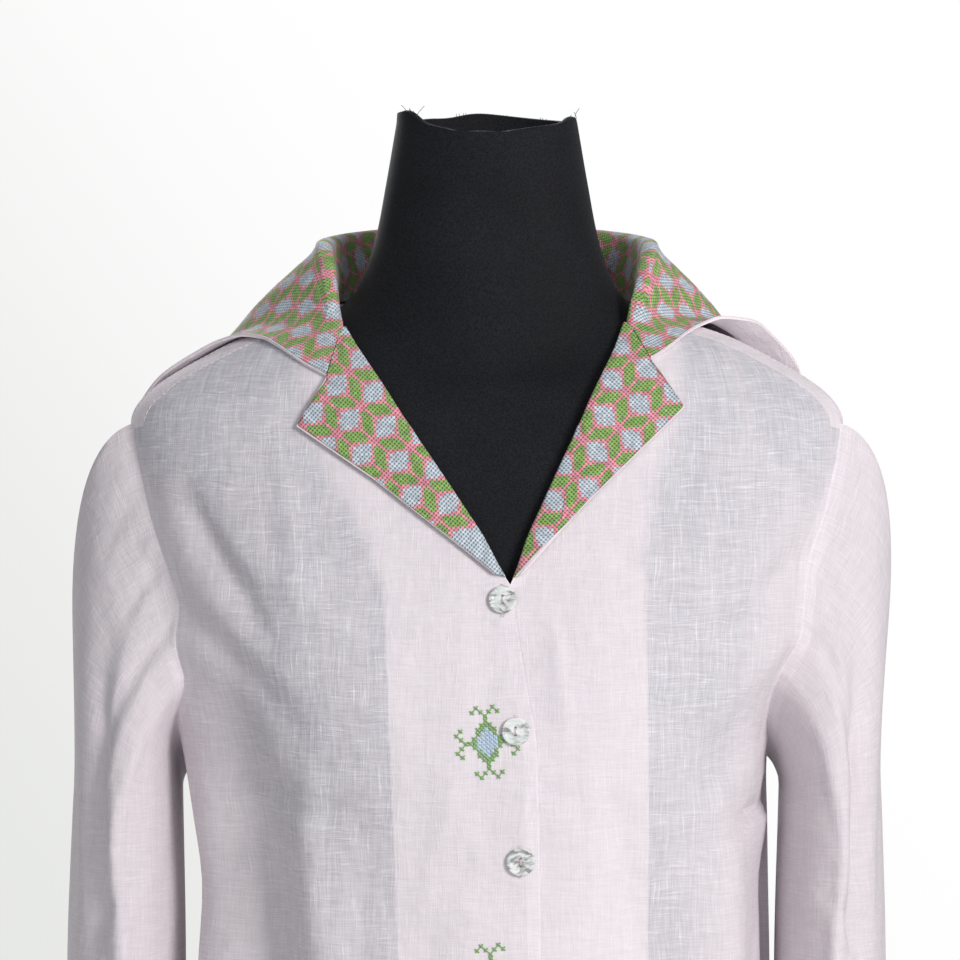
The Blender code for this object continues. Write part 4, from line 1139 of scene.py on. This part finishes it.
def collar_half(side):
    """Rows of the collar's middle surface from the notch to the middle of the back."""
    at = np.array(COLLAR_ROWS)
    shares = COLLAR.column("share")
    neck_angle, neck_level = collar_neck(side, at).T
    edge_angle, edge_level, stand, flat, tent, lift = (
        monotone(shares, COLLAR.column(name), at)
        for name in ("edge_" + side, "edge_level", "stand", "flat", "tent", "lift")
    )
    if side == "right":
        neck_angle, edge_angle = 180 - neck_angle, 180 - edge_angle
    seam = shirt_point(neck_angle, neck_level, COLLAR_REST)
    lift = lift * COLLAR_LIFT
    edge = shirt_point(edge_angle, edge_level, COLLAR_REST + lift)
    out = unit((seam - NECK_CENTRE) * np.array([1, 1, 0]))
    up = np.array([0, 0, 1.0])
    top = seam + (up + out * STAND_LEAN) * stand[:, None]
    radius = np.minimum(ROLL_RADIUS, ROLL_SHARE * stand + ROLL_LEAST)[:, None]
    standing = [seam, seam * 0.5 + top * 0.5]
    for turn in (180, 135, 90, 45, 0):
        angle = math.radians(turn)
        standing.append(top + out * radius * (1 + math.cos(angle)) + up * radius * math.sin(angle))
    last = standing[-1]
    for share in COLLAR_FALL:
        bow = (tent * math.sin(math.pi * share))[:, None]
        standing.append(last * (1 - share) + edge * share + (out * COLLAR_BOW[0] + up * COLLAR_BOW[1]) * bow)
    standing = np.array(standing)
    lying = []
    for share in [0, 0.03, 0.06, 0.09, 0.12, 0.15, 0.18] + [0.18 + 0.82 * fall for fall in COLLAR_FALL]:
        angle = neck_angle * (1 - share) + edge_angle * share
        bend = COLLAR_BEND * share * (1 - share) * (0.75 + 0.4 * share)
        level = neck_level * (1 - share) + edge_level * share + bend
        rise, centre, spread = FRONT_EDGE_RISE[side]
        rise = rise * math.exp(-(((share - centre) / spread) ** 2)) * smooth_step(0, 0.2, share)
        lying.append(shirt_point(angle, level, COLLAR_REST + lift * share + rise))
    lying = np.array(lying)
    blend = flat[None, :, None]
    return (standing * (1 - blend) + lying * blend).transpose(1, 0, 2)


def shirt_tree():
    """The shirt's closed outer surface over the shoulders, used to keep the collar clear of it."""
    angles = np.linspace(0, 360, 91)[:-1]
    levels = np.concatenate([np.linspace(6, 7.8, 7), SHOULDER_ROWS, [NECK_END]])
    grid = shirt_point(angles[None, :], levels[:, None])
    faces = [face[::-1] for face in tube_faces(len(levels), len(angles))]
    return BVHTree.FromPolygons([Vector(p) for p in grid.reshape(-1, 3)], faces)


def lay_on(grid, tree, clear, first):
    """Move the points of the columns from first onwards out, so that none is nearer to the shirt than clear."""
    for row in grid:
        for point in row[first:]:
            spot, normal, _, _ = tree.find_nearest(Vector(point))
            height = (Vector(point) - spot).dot(normal)
            if height < clear:
                point += np.array(normal) * (clear - height)


def soften(grid, first):
    """One smoothing pass over the columns from first onwards, leaving the borders where they are."""
    middle = grid[1:-1, first:-1]
    beside = (grid[:-2, first:-1] + grid[2:, first:-1] + grid[1:-1, first - 1:-2] + grid[1:-1, first + 1:]) / 4
    grid[1:-1, first:-1] = middle * 0.5 + beside * 0.5


def flatten(grid):
    """The grid laid flat with its lengths kept as well as can be, as a cut piece of cloth."""
    rows, columns = grid.shape[:2]
    middle = columns - 4
    across = run_along(grid, 1)
    down = run_along(grid, 0)[:, middle:middle + 1] + np.zeros((rows, columns))
    flat = np.stack([down, across], axis=-1)
    pairs = [((0, 1), (0, 0)), ((0, 0), (0, 1)), ((0, 1), (0, 1)), ((1, 0), (0, 1))]
    for _ in range(FLATTEN_ROUNDS):
        move, count = np.zeros(flat.shape), np.zeros((rows, columns, 1))
        for (row_a, row_b), (column_a, column_b) in pairs:
            one = np.s_[row_a:rows - row_b, column_a:columns - column_b]
            two = np.s_[row_b:rows - row_a, column_b:columns - column_a]
            true = np.linalg.norm(grid[two] - grid[one], axis=-1, keepdims=True)
            gap = flat[two] - flat[one]
            now = np.maximum(np.linalg.norm(gap, axis=-1, keepdims=True), 1e-6)
            shift = gap * (now - true) / now / 2
            move[one] += shift
            move[two] -= shift
            count[one] += 1
            count[two] += 1
        flat += move / count * FLATTEN_PUSH
    return flat


def collar():
    left, right = collar_half("left"), collar_half("right")
    grid = np.concatenate([left, right[::-1][1:]])
    tree = shirt_tree()
    for _ in range(SETTLE_ROUNDS):
        soften(grid, FALL_COLUMN)
        lay_on(grid, tree, COLLAR_REST + COLLAR_CLEAR, FALL_COLUMN)
    flat = finer_grid(flatten(grid), FINE_COLLAR_ROWS, FINE_COLLAR)
    grid = finer_grid(grid, FINE_COLLAR_ROWS, FINE_COLLAR)
    normal = grid_normals(grid)
    if normal[len(grid) // 2, ROLL_COLUMN * FINE_COLLAR, 2] < 0:
        normal = -normal
    values = cloth_values(grid, COLLAR_SHEER, EVERYWHERE, ["first_row", "last_row", "last_column"])
    values["blue_end"] = np.full(grid.shape[:2], NOWHERE)
    flat = flat - flat[len(flat) // 2, :1]
    beside = np.abs(flat[..., 0])
    lean = COLLAR_CHART_LEAN * np.sign(flat[..., 0]) * smooth_step(0, beside.max(), beside)
    turned = [flat[..., 0] * np.cos(lean) + flat[..., 1] * np.sin(lean),
              flat[..., 1] * np.cos(lean) - flat[..., 0] * np.sin(lean)]
    flat = np.stack(turned, axis=-1) * MM
    upper = shell("upper_collar_cloth", grid + normal * COLLAR_WALL, grid, STITCHED, flat, values)
    under = shell("under_collar_cloth", grid, grid - normal * COLLAR_WALL, LINEN, flat, values)
    stand_for(upper, "upper_collar")
    stand_for(under, "under_collar")
    return upper, under


def lapel_rows(side, lift_by, wrap):
    """Rows of one face of the lapel. Each turns round the front's edge at the given radius, then lies on it."""
    sign = 1 if side == "left" else -1
    roll_top, notch, tip = (np.array(V_NECK[side][name]) for name in ("roll_top", "notch", "tip"))
    notch = notch - np.array([0, GORGE_GAP])
    levels, angles = roll_line(side)
    normal = shirt_normal(angles, levels)
    centre = shirt_point(angles, levels, front_lift(angles, side) - WALL / 2)
    for row, beside, share in ((0, 1, LAPEL_START), (-1, -2, LAPEL_END)):
        centre[row] += (centre[beside] - centre[row]) * share
    roll = centre[:, [0, 2]]
    share = (roll[:, 1] - roll[0, 1]) / (roll[-1, 1] - roll[0, 1])
    edge = np.array([LAPEL_BOTTOM[side]] + LAPEL_EDGE[side] + [tuple(tip)])
    run = run_along(edge, 0)
    outer = np.stack([monotone(run / run[-1], edge[:, axis], share) for axis in range(2)], axis=-1)
    along = unit(np.gradient(centre, axis=0))
    away = unit(np.cross(along, normal))
    away *= np.sign(away[:, :1]) * sign
    inside = FACING_INSIDE * (0.3 + 0.7 * smooth_step(0, 0.25, share))[:, None]
    columns = []
    for part in (1.0, 0.5):
        inner_spot = (centre + away * inside * part)[:, [0, 2]]
        spot = front_place(inner_spot[:, 0], inner_spot[:, 1])
        depth = front_lift(spot[:, 0], side) - WALL / 2 - wrap - FACING_DROP
        columns.append(shirt_point(spot[:, 0], spot[:, 1], depth))
    reach = (0.12 + 0.88 * smooth_step(0, 0.16, share))[:, None]
    for turn in (-90, -45, 0, 45, 90):
        angle = math.radians(turn)
        columns.append(centre - away * reach * wrap * math.cos(angle) + normal * wrap * math.sin(angle))
    bend = notch - (roll_top * (1 - NOTCH_AT) + tip * NOTCH_AT)
    for across in LAPEL_ACROSS:
        tent = across / NOTCH_AT if across <= NOTCH_AT else (1 - across) / (1 - NOTCH_AT)
        flat = roll * (1 - across) + outer * across + bend * tent * (share**4)[:, None]
        spot = front_place(flat[:, 0], flat[:, 1])
        puff = LAPEL_PUFF * min(1, 6 * across * (1 - across)) + LAPEL_EDGE_LIFT * across**2
        lift = front_lift(spot[:, 0], side) + lift_by + puff
        columns.append(shirt_point(spot[:, 0], spot[:, 1], lift))
    return np.array(columns).transpose(1, 0, 2)


def line_distance(spots, start, end):
    start, end = np.array(start, float), np.array(end, float)
    share = np.clip(((spots - start) @ (end - start)) / ((end - start) @ (end - start)), 0, 1)
    return np.linalg.norm(spots - start - share[..., None] * (end - start), axis=-1)


def lapel(side):
    inner_wrap = WALL / 2 + GAP
    outer = finer_grid(lapel_rows(side, GAP + LAPEL_WALL, inner_wrap + LAPEL_WALL), FINE_LAPEL_ROWS, FINE_COLLAR)
    inner = finer_grid(lapel_rows(side, GAP, inner_wrap), FINE_LAPEL_ROWS, FINE_COLLAR)
    spots = outer[..., [0, 2]]
    bottom, tip = np.array(LAPEL_BOTTOM[side]), np.array(V_NECK[side]["tip"])
    along = (tip - bottom) / np.linalg.norm(tip - bottom)
    middle_x, middle_z, dip = LAPEL_CHART[side]
    dip = math.radians(dip)
    inwards = 1 if side == "right" else -1
    axis = np.array([inwards * math.cos(dip), -math.sin(dip)])
    from_middle = spots - (middle_x, middle_z)
    uv = np.stack([from_middle @ axis, from_middle @ (-axis[1], axis[0])], axis=-1) * MM
    notch = np.array(V_NECK[side]["notch"]) - np.array([0, GORGE_GAP])
    top_edge = line_distance(spots, notch, tip)
    edge = np.minimum(edge_distance(outer, ["last_column"]), top_edge)
    down = (spots - bottom) @ along
    blue_end = BLUE_END - down if side == "right" else np.full(down.shape, NOWHERE)
    if side == "left":
        edge = edge - LEFT_RIM * (1 - smooth_step(*LEFT_RIM_RUN, down))
    values = {"edge": edge, "blue_end": blue_end}
    made = shell("lapel_cloth_" + side, outer, inner, STITCHED, uv, values)
    return stand_for(made, "lapel_" + side), outer


def dress_form():
    """Torso and neck in one smooth body, flat underneath, with the open rim of its cover at the neck."""
    around, rim_width, rim_depth = 160, 5.0, 9.0
    levels = [np.linspace(0, 7.5, 46), finer(SHOULDER_ROWS, 3), [NECK_END, 10.2], np.linspace(10.6, 13, 16)]
    angles = np.linspace(0, 360, around, endpoint=False)
    rings = [body_point(angles, level, FORM_BUST) for level in np.concatenate(levels)]
    top = rings[-1]
    centre = top.mean(axis=0)
    outward = unit((top - centre) * np.array([1, 1, 0]))
    corners = sum(high * np.exp(-(((angles - turn) / spread) ** 2)) for turn, spread, high in RIM_CORNERS)
    wave = 0.6 * np.sin(np.radians(angles * 7) + np.sin(np.radians(angles * 3)))
    lip = top + np.array([0, 0, 1.0]) * (wave + corners)[:, None]
    for turn in (30, 70, 110, 150):
        angle = math.radians(turn)
        rings.append(lip - outward * rim_width / 2 * (1 - math.cos(angle)) + np.array([0, 0, 1.2]) * math.sin(angle))
    for sink in (0.3, 1.0):
        rings.append(lip - outward * (rim_width + 0.6 * sink) - np.array([0, 0, rim_depth * sink]))
    faces = tube_faces(len(rings), around, capped=True)
    made = add_object("torso_form", np.concatenate(rings), faces, JERSEY)
    return stand_for(made, "dress_form"), lip


def frayed_threads(lip):
    """Short ends of thread that stand out of the cover's cut edge at the neck."""
    centre = lip.mean(axis=0)
    starts, ends = [], []
    for number in range(46):
        spot = lip[(number * 37) % len(lip)]
        outward = unit((spot - centre) * np.array([1, 1, 0]))
        swing = math.sin(number * 2.4)
        starts.append(spot - outward * (1.0 + 0.8 * swing))
        ends.append(starts[-1] + outward * 1.2 * swing + np.array([0.6 * math.cos(number * 1.7), 0, 2.0 + 1.1 * swing]))
    for turn, lean, length in LOOSE_ENDS:
        spot = lip[int(turn / 360 * len(lip))]
        for step in range(6):
            bend = lean * math.sin(1.4 * step / 5)
            following = spot + np.array([bend, -0.3, length / 6])
            starts.append(spot)
            ends.append(following + (following - spot) * 0.12)
            spot = following
    return bars("frayed_rim", starts, ends, 0.16, JERSEY, sides=5)


def button_frame(number):
    """Where a button sits: the middle of its underside, the direction out of the cloth and the one up."""
    z = BUTTON_TOP_Z - BUTTON_PITCH * (number - 1)
    x = float(front_edge(z)) - (FIRST_BUTTON_INSET if number == 1 else BUTTON_INSET)
    turn = np.linspace(0, 2 * math.pi, 9)[:-1]
    reach = np.append(BUTTON_RADIUS * np.cos(turn), 0), np.append(BUTTON_RADIUS * np.sin(turn), 0)
    place = front_place(x + reach[0], z + reach[1])
    spots = shirt_point(place[:, 0], place[:, 1], front_lift(place[:, 0], "right"))
    normal = Vector(np.cross(spots[0] - spots[4], spots[2] - spots[6])).normalized()
    base = Vector(spots[-1])
    base += normal * (max((Vector(spot) - base).dot(normal) for spot in spots) + GAP)
    side = Vector((1, 0, 0)).cross(normal).normalized()
    return x, z, base, normal, side


def button(number):
    """A turned shell button with a rounded rim, a shallow well and two drilled holes, with its sewing thread."""
    _, _, base, normal, side = button_frame(number)
    across = normal.cross(side)
    rise, well = BUTTON_THICK, BUTTON_THICK - BUTTON_WELL_DEPTH
    profile = [(0, 0), (BUTTON_RADIUS - 1.2, 0), (BUTTON_RADIUS - 0.3, 0.5), (BUTTON_RADIUS, 1.1),
               (BUTTON_RADIUS - 0.12, 1.7), (BUTTON_RADIUS - 0.6, rise), (BUTTON_WELL_RADIUS + 0.8, rise),
               (BUTTON_WELL_RADIUS, well + 0.12), (BUTTON_WELL_RADIUS - 0.9, well), (0, well)]
    count = 64
    edit = bmesh.new()
    rings = [[edit.verts.new((radius * math.cos(2 * math.pi * k / count), radius * math.sin(2 * math.pi * k / count),
                              height)) for k in range(count)] for radius, height in profile[1:-1]]
    for low, high in zip(rings, rings[1:]):
        for k in range(count):
            edit.faces.new([low[k], low[(k + 1) % count], high[(k + 1) % count], high[k]])
    edit.faces.new(rings[0][::-1])
    edit.faces.new(rings[-1])
    mesh = bpy.data.meshes.new(f"button_body_{number}")
    edit.to_mesh(mesh)
    edit.free()
    made = linked(f"shell_button_{number}", mesh)
    for sign in (-1, 1):
        drill(made, sign * BUTTON_HOLE_OFFSET)
    turned = Matrix((across, side, normal)).transposed().to_4x4()
    made.data.transform(Matrix.Scale(MM, 4) @ Matrix.Translation(base) @ turned)
    made.data.materials.append(PEARL)
    made.data.shade_smooth()
    made.data.set_sharp_from_angle(angle=math.radians(BUTTON_SHARP))
    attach(made, "root")
    stand_for(made, f"button_{number}")
    holes = [np.array(base + side * (sign * BUTTON_HOLE_OFFSET)) for sign in (-1, 1)]
    up = np.array(normal)
    starts, ends = [], []
    low, high = up * (well - 0.5), up * (well + 0.3)
    for shift in (-0.28, 0.28):
        beside = np.array(across) * shift
        path = [holes[0] + low + beside, holes[0] + high + beside, holes[1] + high + beside, holes[1] + low + beside]
        starts += path[:-1]
        ends += path[1:]
    bars(f"button_thread_{number}", starts, ends, SEWING_RADIUS, SEWING)


def drill(made, offset):
    mesh = bpy.data.meshes.new("drill")
    edit = bmesh.new()
    bmesh.ops.create_cone(edit, cap_ends=True, segments=20, radius1=BUTTON_HOLE_RADIUS, radius2=BUTTON_HOLE_RADIUS,
                          depth=3 * BUTTON_THICK)
    bmesh.ops.translate(edit, verts=edit.verts, vec=(0, offset, 0))
    edit.to_mesh(mesh)
    edit.free()
    tool = linked("drill", mesh)
    cut = made.modifiers.new("hole", "BOOLEAN")
    cut.object = tool
    cut.solver = "EXACT"
    bpy.context.view_layer.update()
    shape = bpy.data.meshes.new_from_object(made.evaluated_get(bpy.context.evaluated_depsgraph_get()))
    made.modifiers.clear()
    made.data = shape
    bpy.data.objects.remove(tool, do_unlink=True)


def on_front(x, z, height):
    """Points on the top front at x and z, raised by the height."""
    place = front_place(x, z)
    return shirt_point(place[..., 0], place[..., 1], front_lift(place[..., 0], "right") + height)


def buttonholes():
    """A narrow slot worked round with close stitches, upright behind each button."""
    starts, ends = [], []
    for number in range(1, BUTTON_COUNT + 1):
        x, z, *_ = button_frame(number)
        for step in np.arange(-BUTTONHOLE_LENGTH / 2, BUTTONHOLE_LENGTH / 2, BUTTONHOLE_STEP):
            starts.append((x - BUTTONHOLE_WIDTH / 2, z + step))
            ends.append((x + BUTTONHOLE_WIDTH / 2, z + step))
    starts, ends = np.array(starts), np.array(ends)
    first = on_front(starts[:, 0], starts[:, 1], SEWING_LIFT)
    last = on_front(ends[:, 0], ends[:, 1], SEWING_LIFT)
    bars("buttonholes", first, last, 0.26, SEWING, sides=5)


def motif_chart():
    """Cells of the motif: green outline of a diamond with a light blue middle, and a branch at each of its tips."""
    green, blue = [], []
    for i in range(-4, 5):
        for j in range(-5, 6):
            depth = abs(i) / 4.6 + abs(j) / 5.6
            if depth <= 1:
                (blue if abs(i) / 2.9 + abs(j) / 3.9 <= 1 else green).append((i, j))
    for sign in (-1, 1):
        green += [(0, sign * 6), (sign * 5, 0)]
        for beside in (-1, 1):
            for out, far in ((7, 1), (8, 2), (7, 3)):
                green += [(beside * far, sign * out), (sign * (out - 1), beside * far)]
    return green, blue


def motifs():
    lean = math.radians(MOTIF_LEAN)
    green, blue = motif_chart()
    for label, cells, spec in (("green", green, GREEN), ("blue", blue, LIGHT_BLUE)):
        starts, ends, heights = [], [], []
        for centre_x, centre_z in MOTIF_PLACES:
            for i, j in cells:
                for order, slope in enumerate((1, -1)):
                    for half, spots in ((-0.5, starts), (0.5, ends)):
                        x = i * CROSS_PITCH + half * CROSS_SIZE
                        z = j * CROSS_PITCH + half * CROSS_SIZE * slope
                        spots.append((centre_x + x * math.cos(lean) - z * math.sin(lean),
                                      centre_z + x * math.sin(lean) + z * math.cos(lean)))
                    heights.append(0.18 + 0.3 * order)
        starts, ends, heights = np.array(starts), np.array(ends), np.array(heights)
        kept = np.maximum(starts[:, 0], ends[:, 0]) < front_edge(starts[:, 1]) - 1.0
        starts, ends, heights = starts[kept], ends[kept], heights[kept]
        first = on_front(starts[:, 0], starts[:, 1], heights)
        last = on_front(ends[:, 0], ends[:, 1], heights)
        bars("motif_" + label, first, last, THREAD, spec)


def shoulder_tip_z():
    return float(shirt_point(SHOULDER_SEAM, FORM.level("tip"))[2])


def sewing(fronts, back_grid, back_normals, sleeves):
    """Rows of stitches: beside the shoulder seams and round the hem and the cuffs."""
    lines = []
    top = slice(-(8 * FINE_ROWS), None)
    for column in (2, -3):
        lines.append((back_grid[top, column], back_normals[top, column]))
    for grid, normals in fronts:
        shoulder = grid[:, 0, 2] > shoulder_tip_z()
        column = np.argmin(np.abs(run_along(grid, 1)[shoulder] - SHOULDER_STRIP), axis=1)
        rows = np.arange(len(grid))[shoulder]
        lines.append((grid[rows, column], normals[rows, column]))
    for grid, normals in fronts + [(back_grid, back_normals)]:
        row = int(np.argmin(np.abs(grid[:, 0, 2] - grid[0, 0, 2] - HEM_STITCH_RISE)))
        lines.append((grid[row], normals[row]))
    for grid, normals in sleeves:
        row = int(np.argmin(np.abs(grid[:, 0, 2] - CUFF_Z - HEM_STITCH_RISE)))
        lines.append((grid[row], normals[row]))
    starts, ends = zip(*(stitch_row(line + normals * SEWING_LIFT) for line, normals in lines))
    bars("topstitching", np.concatenate(starts), np.concatenate(ends), SEWING_RADIUS, SEWING, sides=5)


# Flat size of each cut piece in metres: width, length and area
CUTS = Table("""
    name width length area
    front_panel_right 0.30 0.68 0.160
    front_panel_left 0.28 0.68 0.141
    back_panel 0.56 0.70 0.317
    sleeve_panel_right 0.36 0.62 0.152
    sleeve_panel_left 0.35 0.62 0.147
    upper_collar_cloth 0.62 0.15 0.071
    under_collar_cloth 0.62 0.15 0.070
    lapel_cloth_right 0.09 0.19 0.0081
    lapel_cloth_left 0.08 0.19 0.0071
""")


# Backdrop: the direction that it grows lighter in, the range of that and its darkest and lightest tones. Its darker
# lower left is painted shade.
BACKDROP_LEAN = (0.8, 0.0, 0.6)
BACKDROP_RANGE = (-0.2, 0.06)
BACKDROP_TONES = (0.80, 0.81, 0.79, 1), (1.0, 1.0, 1.0, 1)
FLOOR_FADE = (0.45, 1.15)
SKY_COLOUR = (0.95, 0.97, 1.0, 1)
SKY_LIGHT = 0.36


def camera():
    """Level and straight in front, at the photo's distance and framing."""
    view_width, distance, sensor = 0.5568, 2.0, 36.0
    data = bpy.data.cameras.new("camera")
    data.sensor_width = sensor
    data.lens = sensor * distance / view_width
    made = linked("camera", data)
    made.location = (-0.004, -distance, 0.6406)
    made.rotation_euler = (math.radians(90), 0, 0)
    bpy.context.scene.camera = made


def area_light(name, place, target, size, power, colour):
    data = bpy.data.lights.new(name, "AREA")
    data.size, data.energy, data.color = size, power, colour
    made = linked(name, data)
    made.location = place
    made.rotation_euler = (Vector(target) - Vector(place)).to_track_quat("-Z", "Y").to_euler()


def backdrop():
    """A bright backdrop, darker towards the lower left as painted shade, with a dimmer soft light from all round on the
    object itself.
    """
    nodes = Nodes("studio", "worlds", "Background")
    nodes.shader.inputs[0].default_value, nodes.shader.inputs[1].default_value = SKY_COLOUR, SKY_LIGHT
    spread = {0: nodes.add("ShaderNodeTexCoord", {}), 1: BACKDROP_LEAN}
    # Painted shade: the backdrop seen by the camera darkens towards the lower left
    share = nodes.range(nodes.add("ShaderNodeVectorMath", spread, 1, operation="DOT_PRODUCT"), *BACKDROP_RANGE)
    seen = nodes.add("ShaderNodeBackground", {0: nodes.mix(share, *BACKDROP_TONES), 1: 1.0})
    path = nodes.add("ShaderNodeLightPath", {})
    both = nodes.add("ShaderNodeMixShader", {0: path, 1: nodes.shader.outputs[0], 2: seen})
    nodes.tree.links.new(both, nodes.tree.nodes["World Output"].inputs[0])
    bpy.context.scene.world = nodes.owner


def paper():
    """Pale floor that fades into the backdrop away from the form."""
    nodes = Nodes("studio_floor")
    place = nodes.place()
    grain = nodes.noise(place, 3.0, 2.0)
    colour = nodes.times((0.88, 0.88, 0.875, 1), nodes.range(grain, 0.2, 0.8, 0.985, 1.015))
    away = nodes.add("ShaderNodeVectorMath", {0: place}, 1, operation="LENGTH")
    nodes.tree.links.new(nodes.range(away, *FLOOR_FADE, 1.0, 0.0), nodes.shader.inputs["Alpha"])
    return nodes.finish(colour, 0.9, nodes.bump(grain, 0.02, 0.0005), Specular_IOR_Level=0.1)


def studio():
    area_light("key", (1.75, -2.35, 1.35), (0, 0, 0.6), 1.0, 64.0, (1.0, 0.985, 0.975))
    area_light("fill", (-0.9, -2.9, 0.8), (0, 0, 0.5), 2.0, 9.5, (0.97, 0.98, 1.0))
    area_light("back_light", (-0.8, 2.4, 1.9), (0, 0, 0.6), 1.6, 42.0, (1.0, 1.0, 1.0))
    bpy.context.scene.view_settings.view_transform = "Standard"
    backdrop()
    mesh = bpy.data.meshes.new("floor")
    reach = FLOOR_FADE[1]
    corners = [(-reach, -reach, 0), (reach, -reach, 0), (reach, reach, 0), (-reach, reach, 0)]
    mesh.from_pydata(corners, [], [[0, 1, 2, 3]])
    mesh.materials.append(paper())
    floor = linked("floor", mesh)
    floor.location.z = -0.0005


def dress():
    """Builds the camera, the form and every piece of cloth, with the buttons and the stitching."""
    camera()
    form, lip = dress_form()
    frayed_threads(lip)
    fronts = [front("right"), front("left")]
    sleeves = [sleeve("right"), sleeve("left")]
    back_panel, back_grid, back_normals = back()
    upper, under = collar()
    lapels = [lapel("right"), lapel("left")]
    for number in range(1, BUTTON_COUNT + 1):
        button(number)
    buttonholes()
    motifs()
    sewing([(grid, normals) for _, grid, normals in fronts], back_grid, back_normals,
           [(grid, normals) for _, grid, normals in sleeves])


dress()
studio()
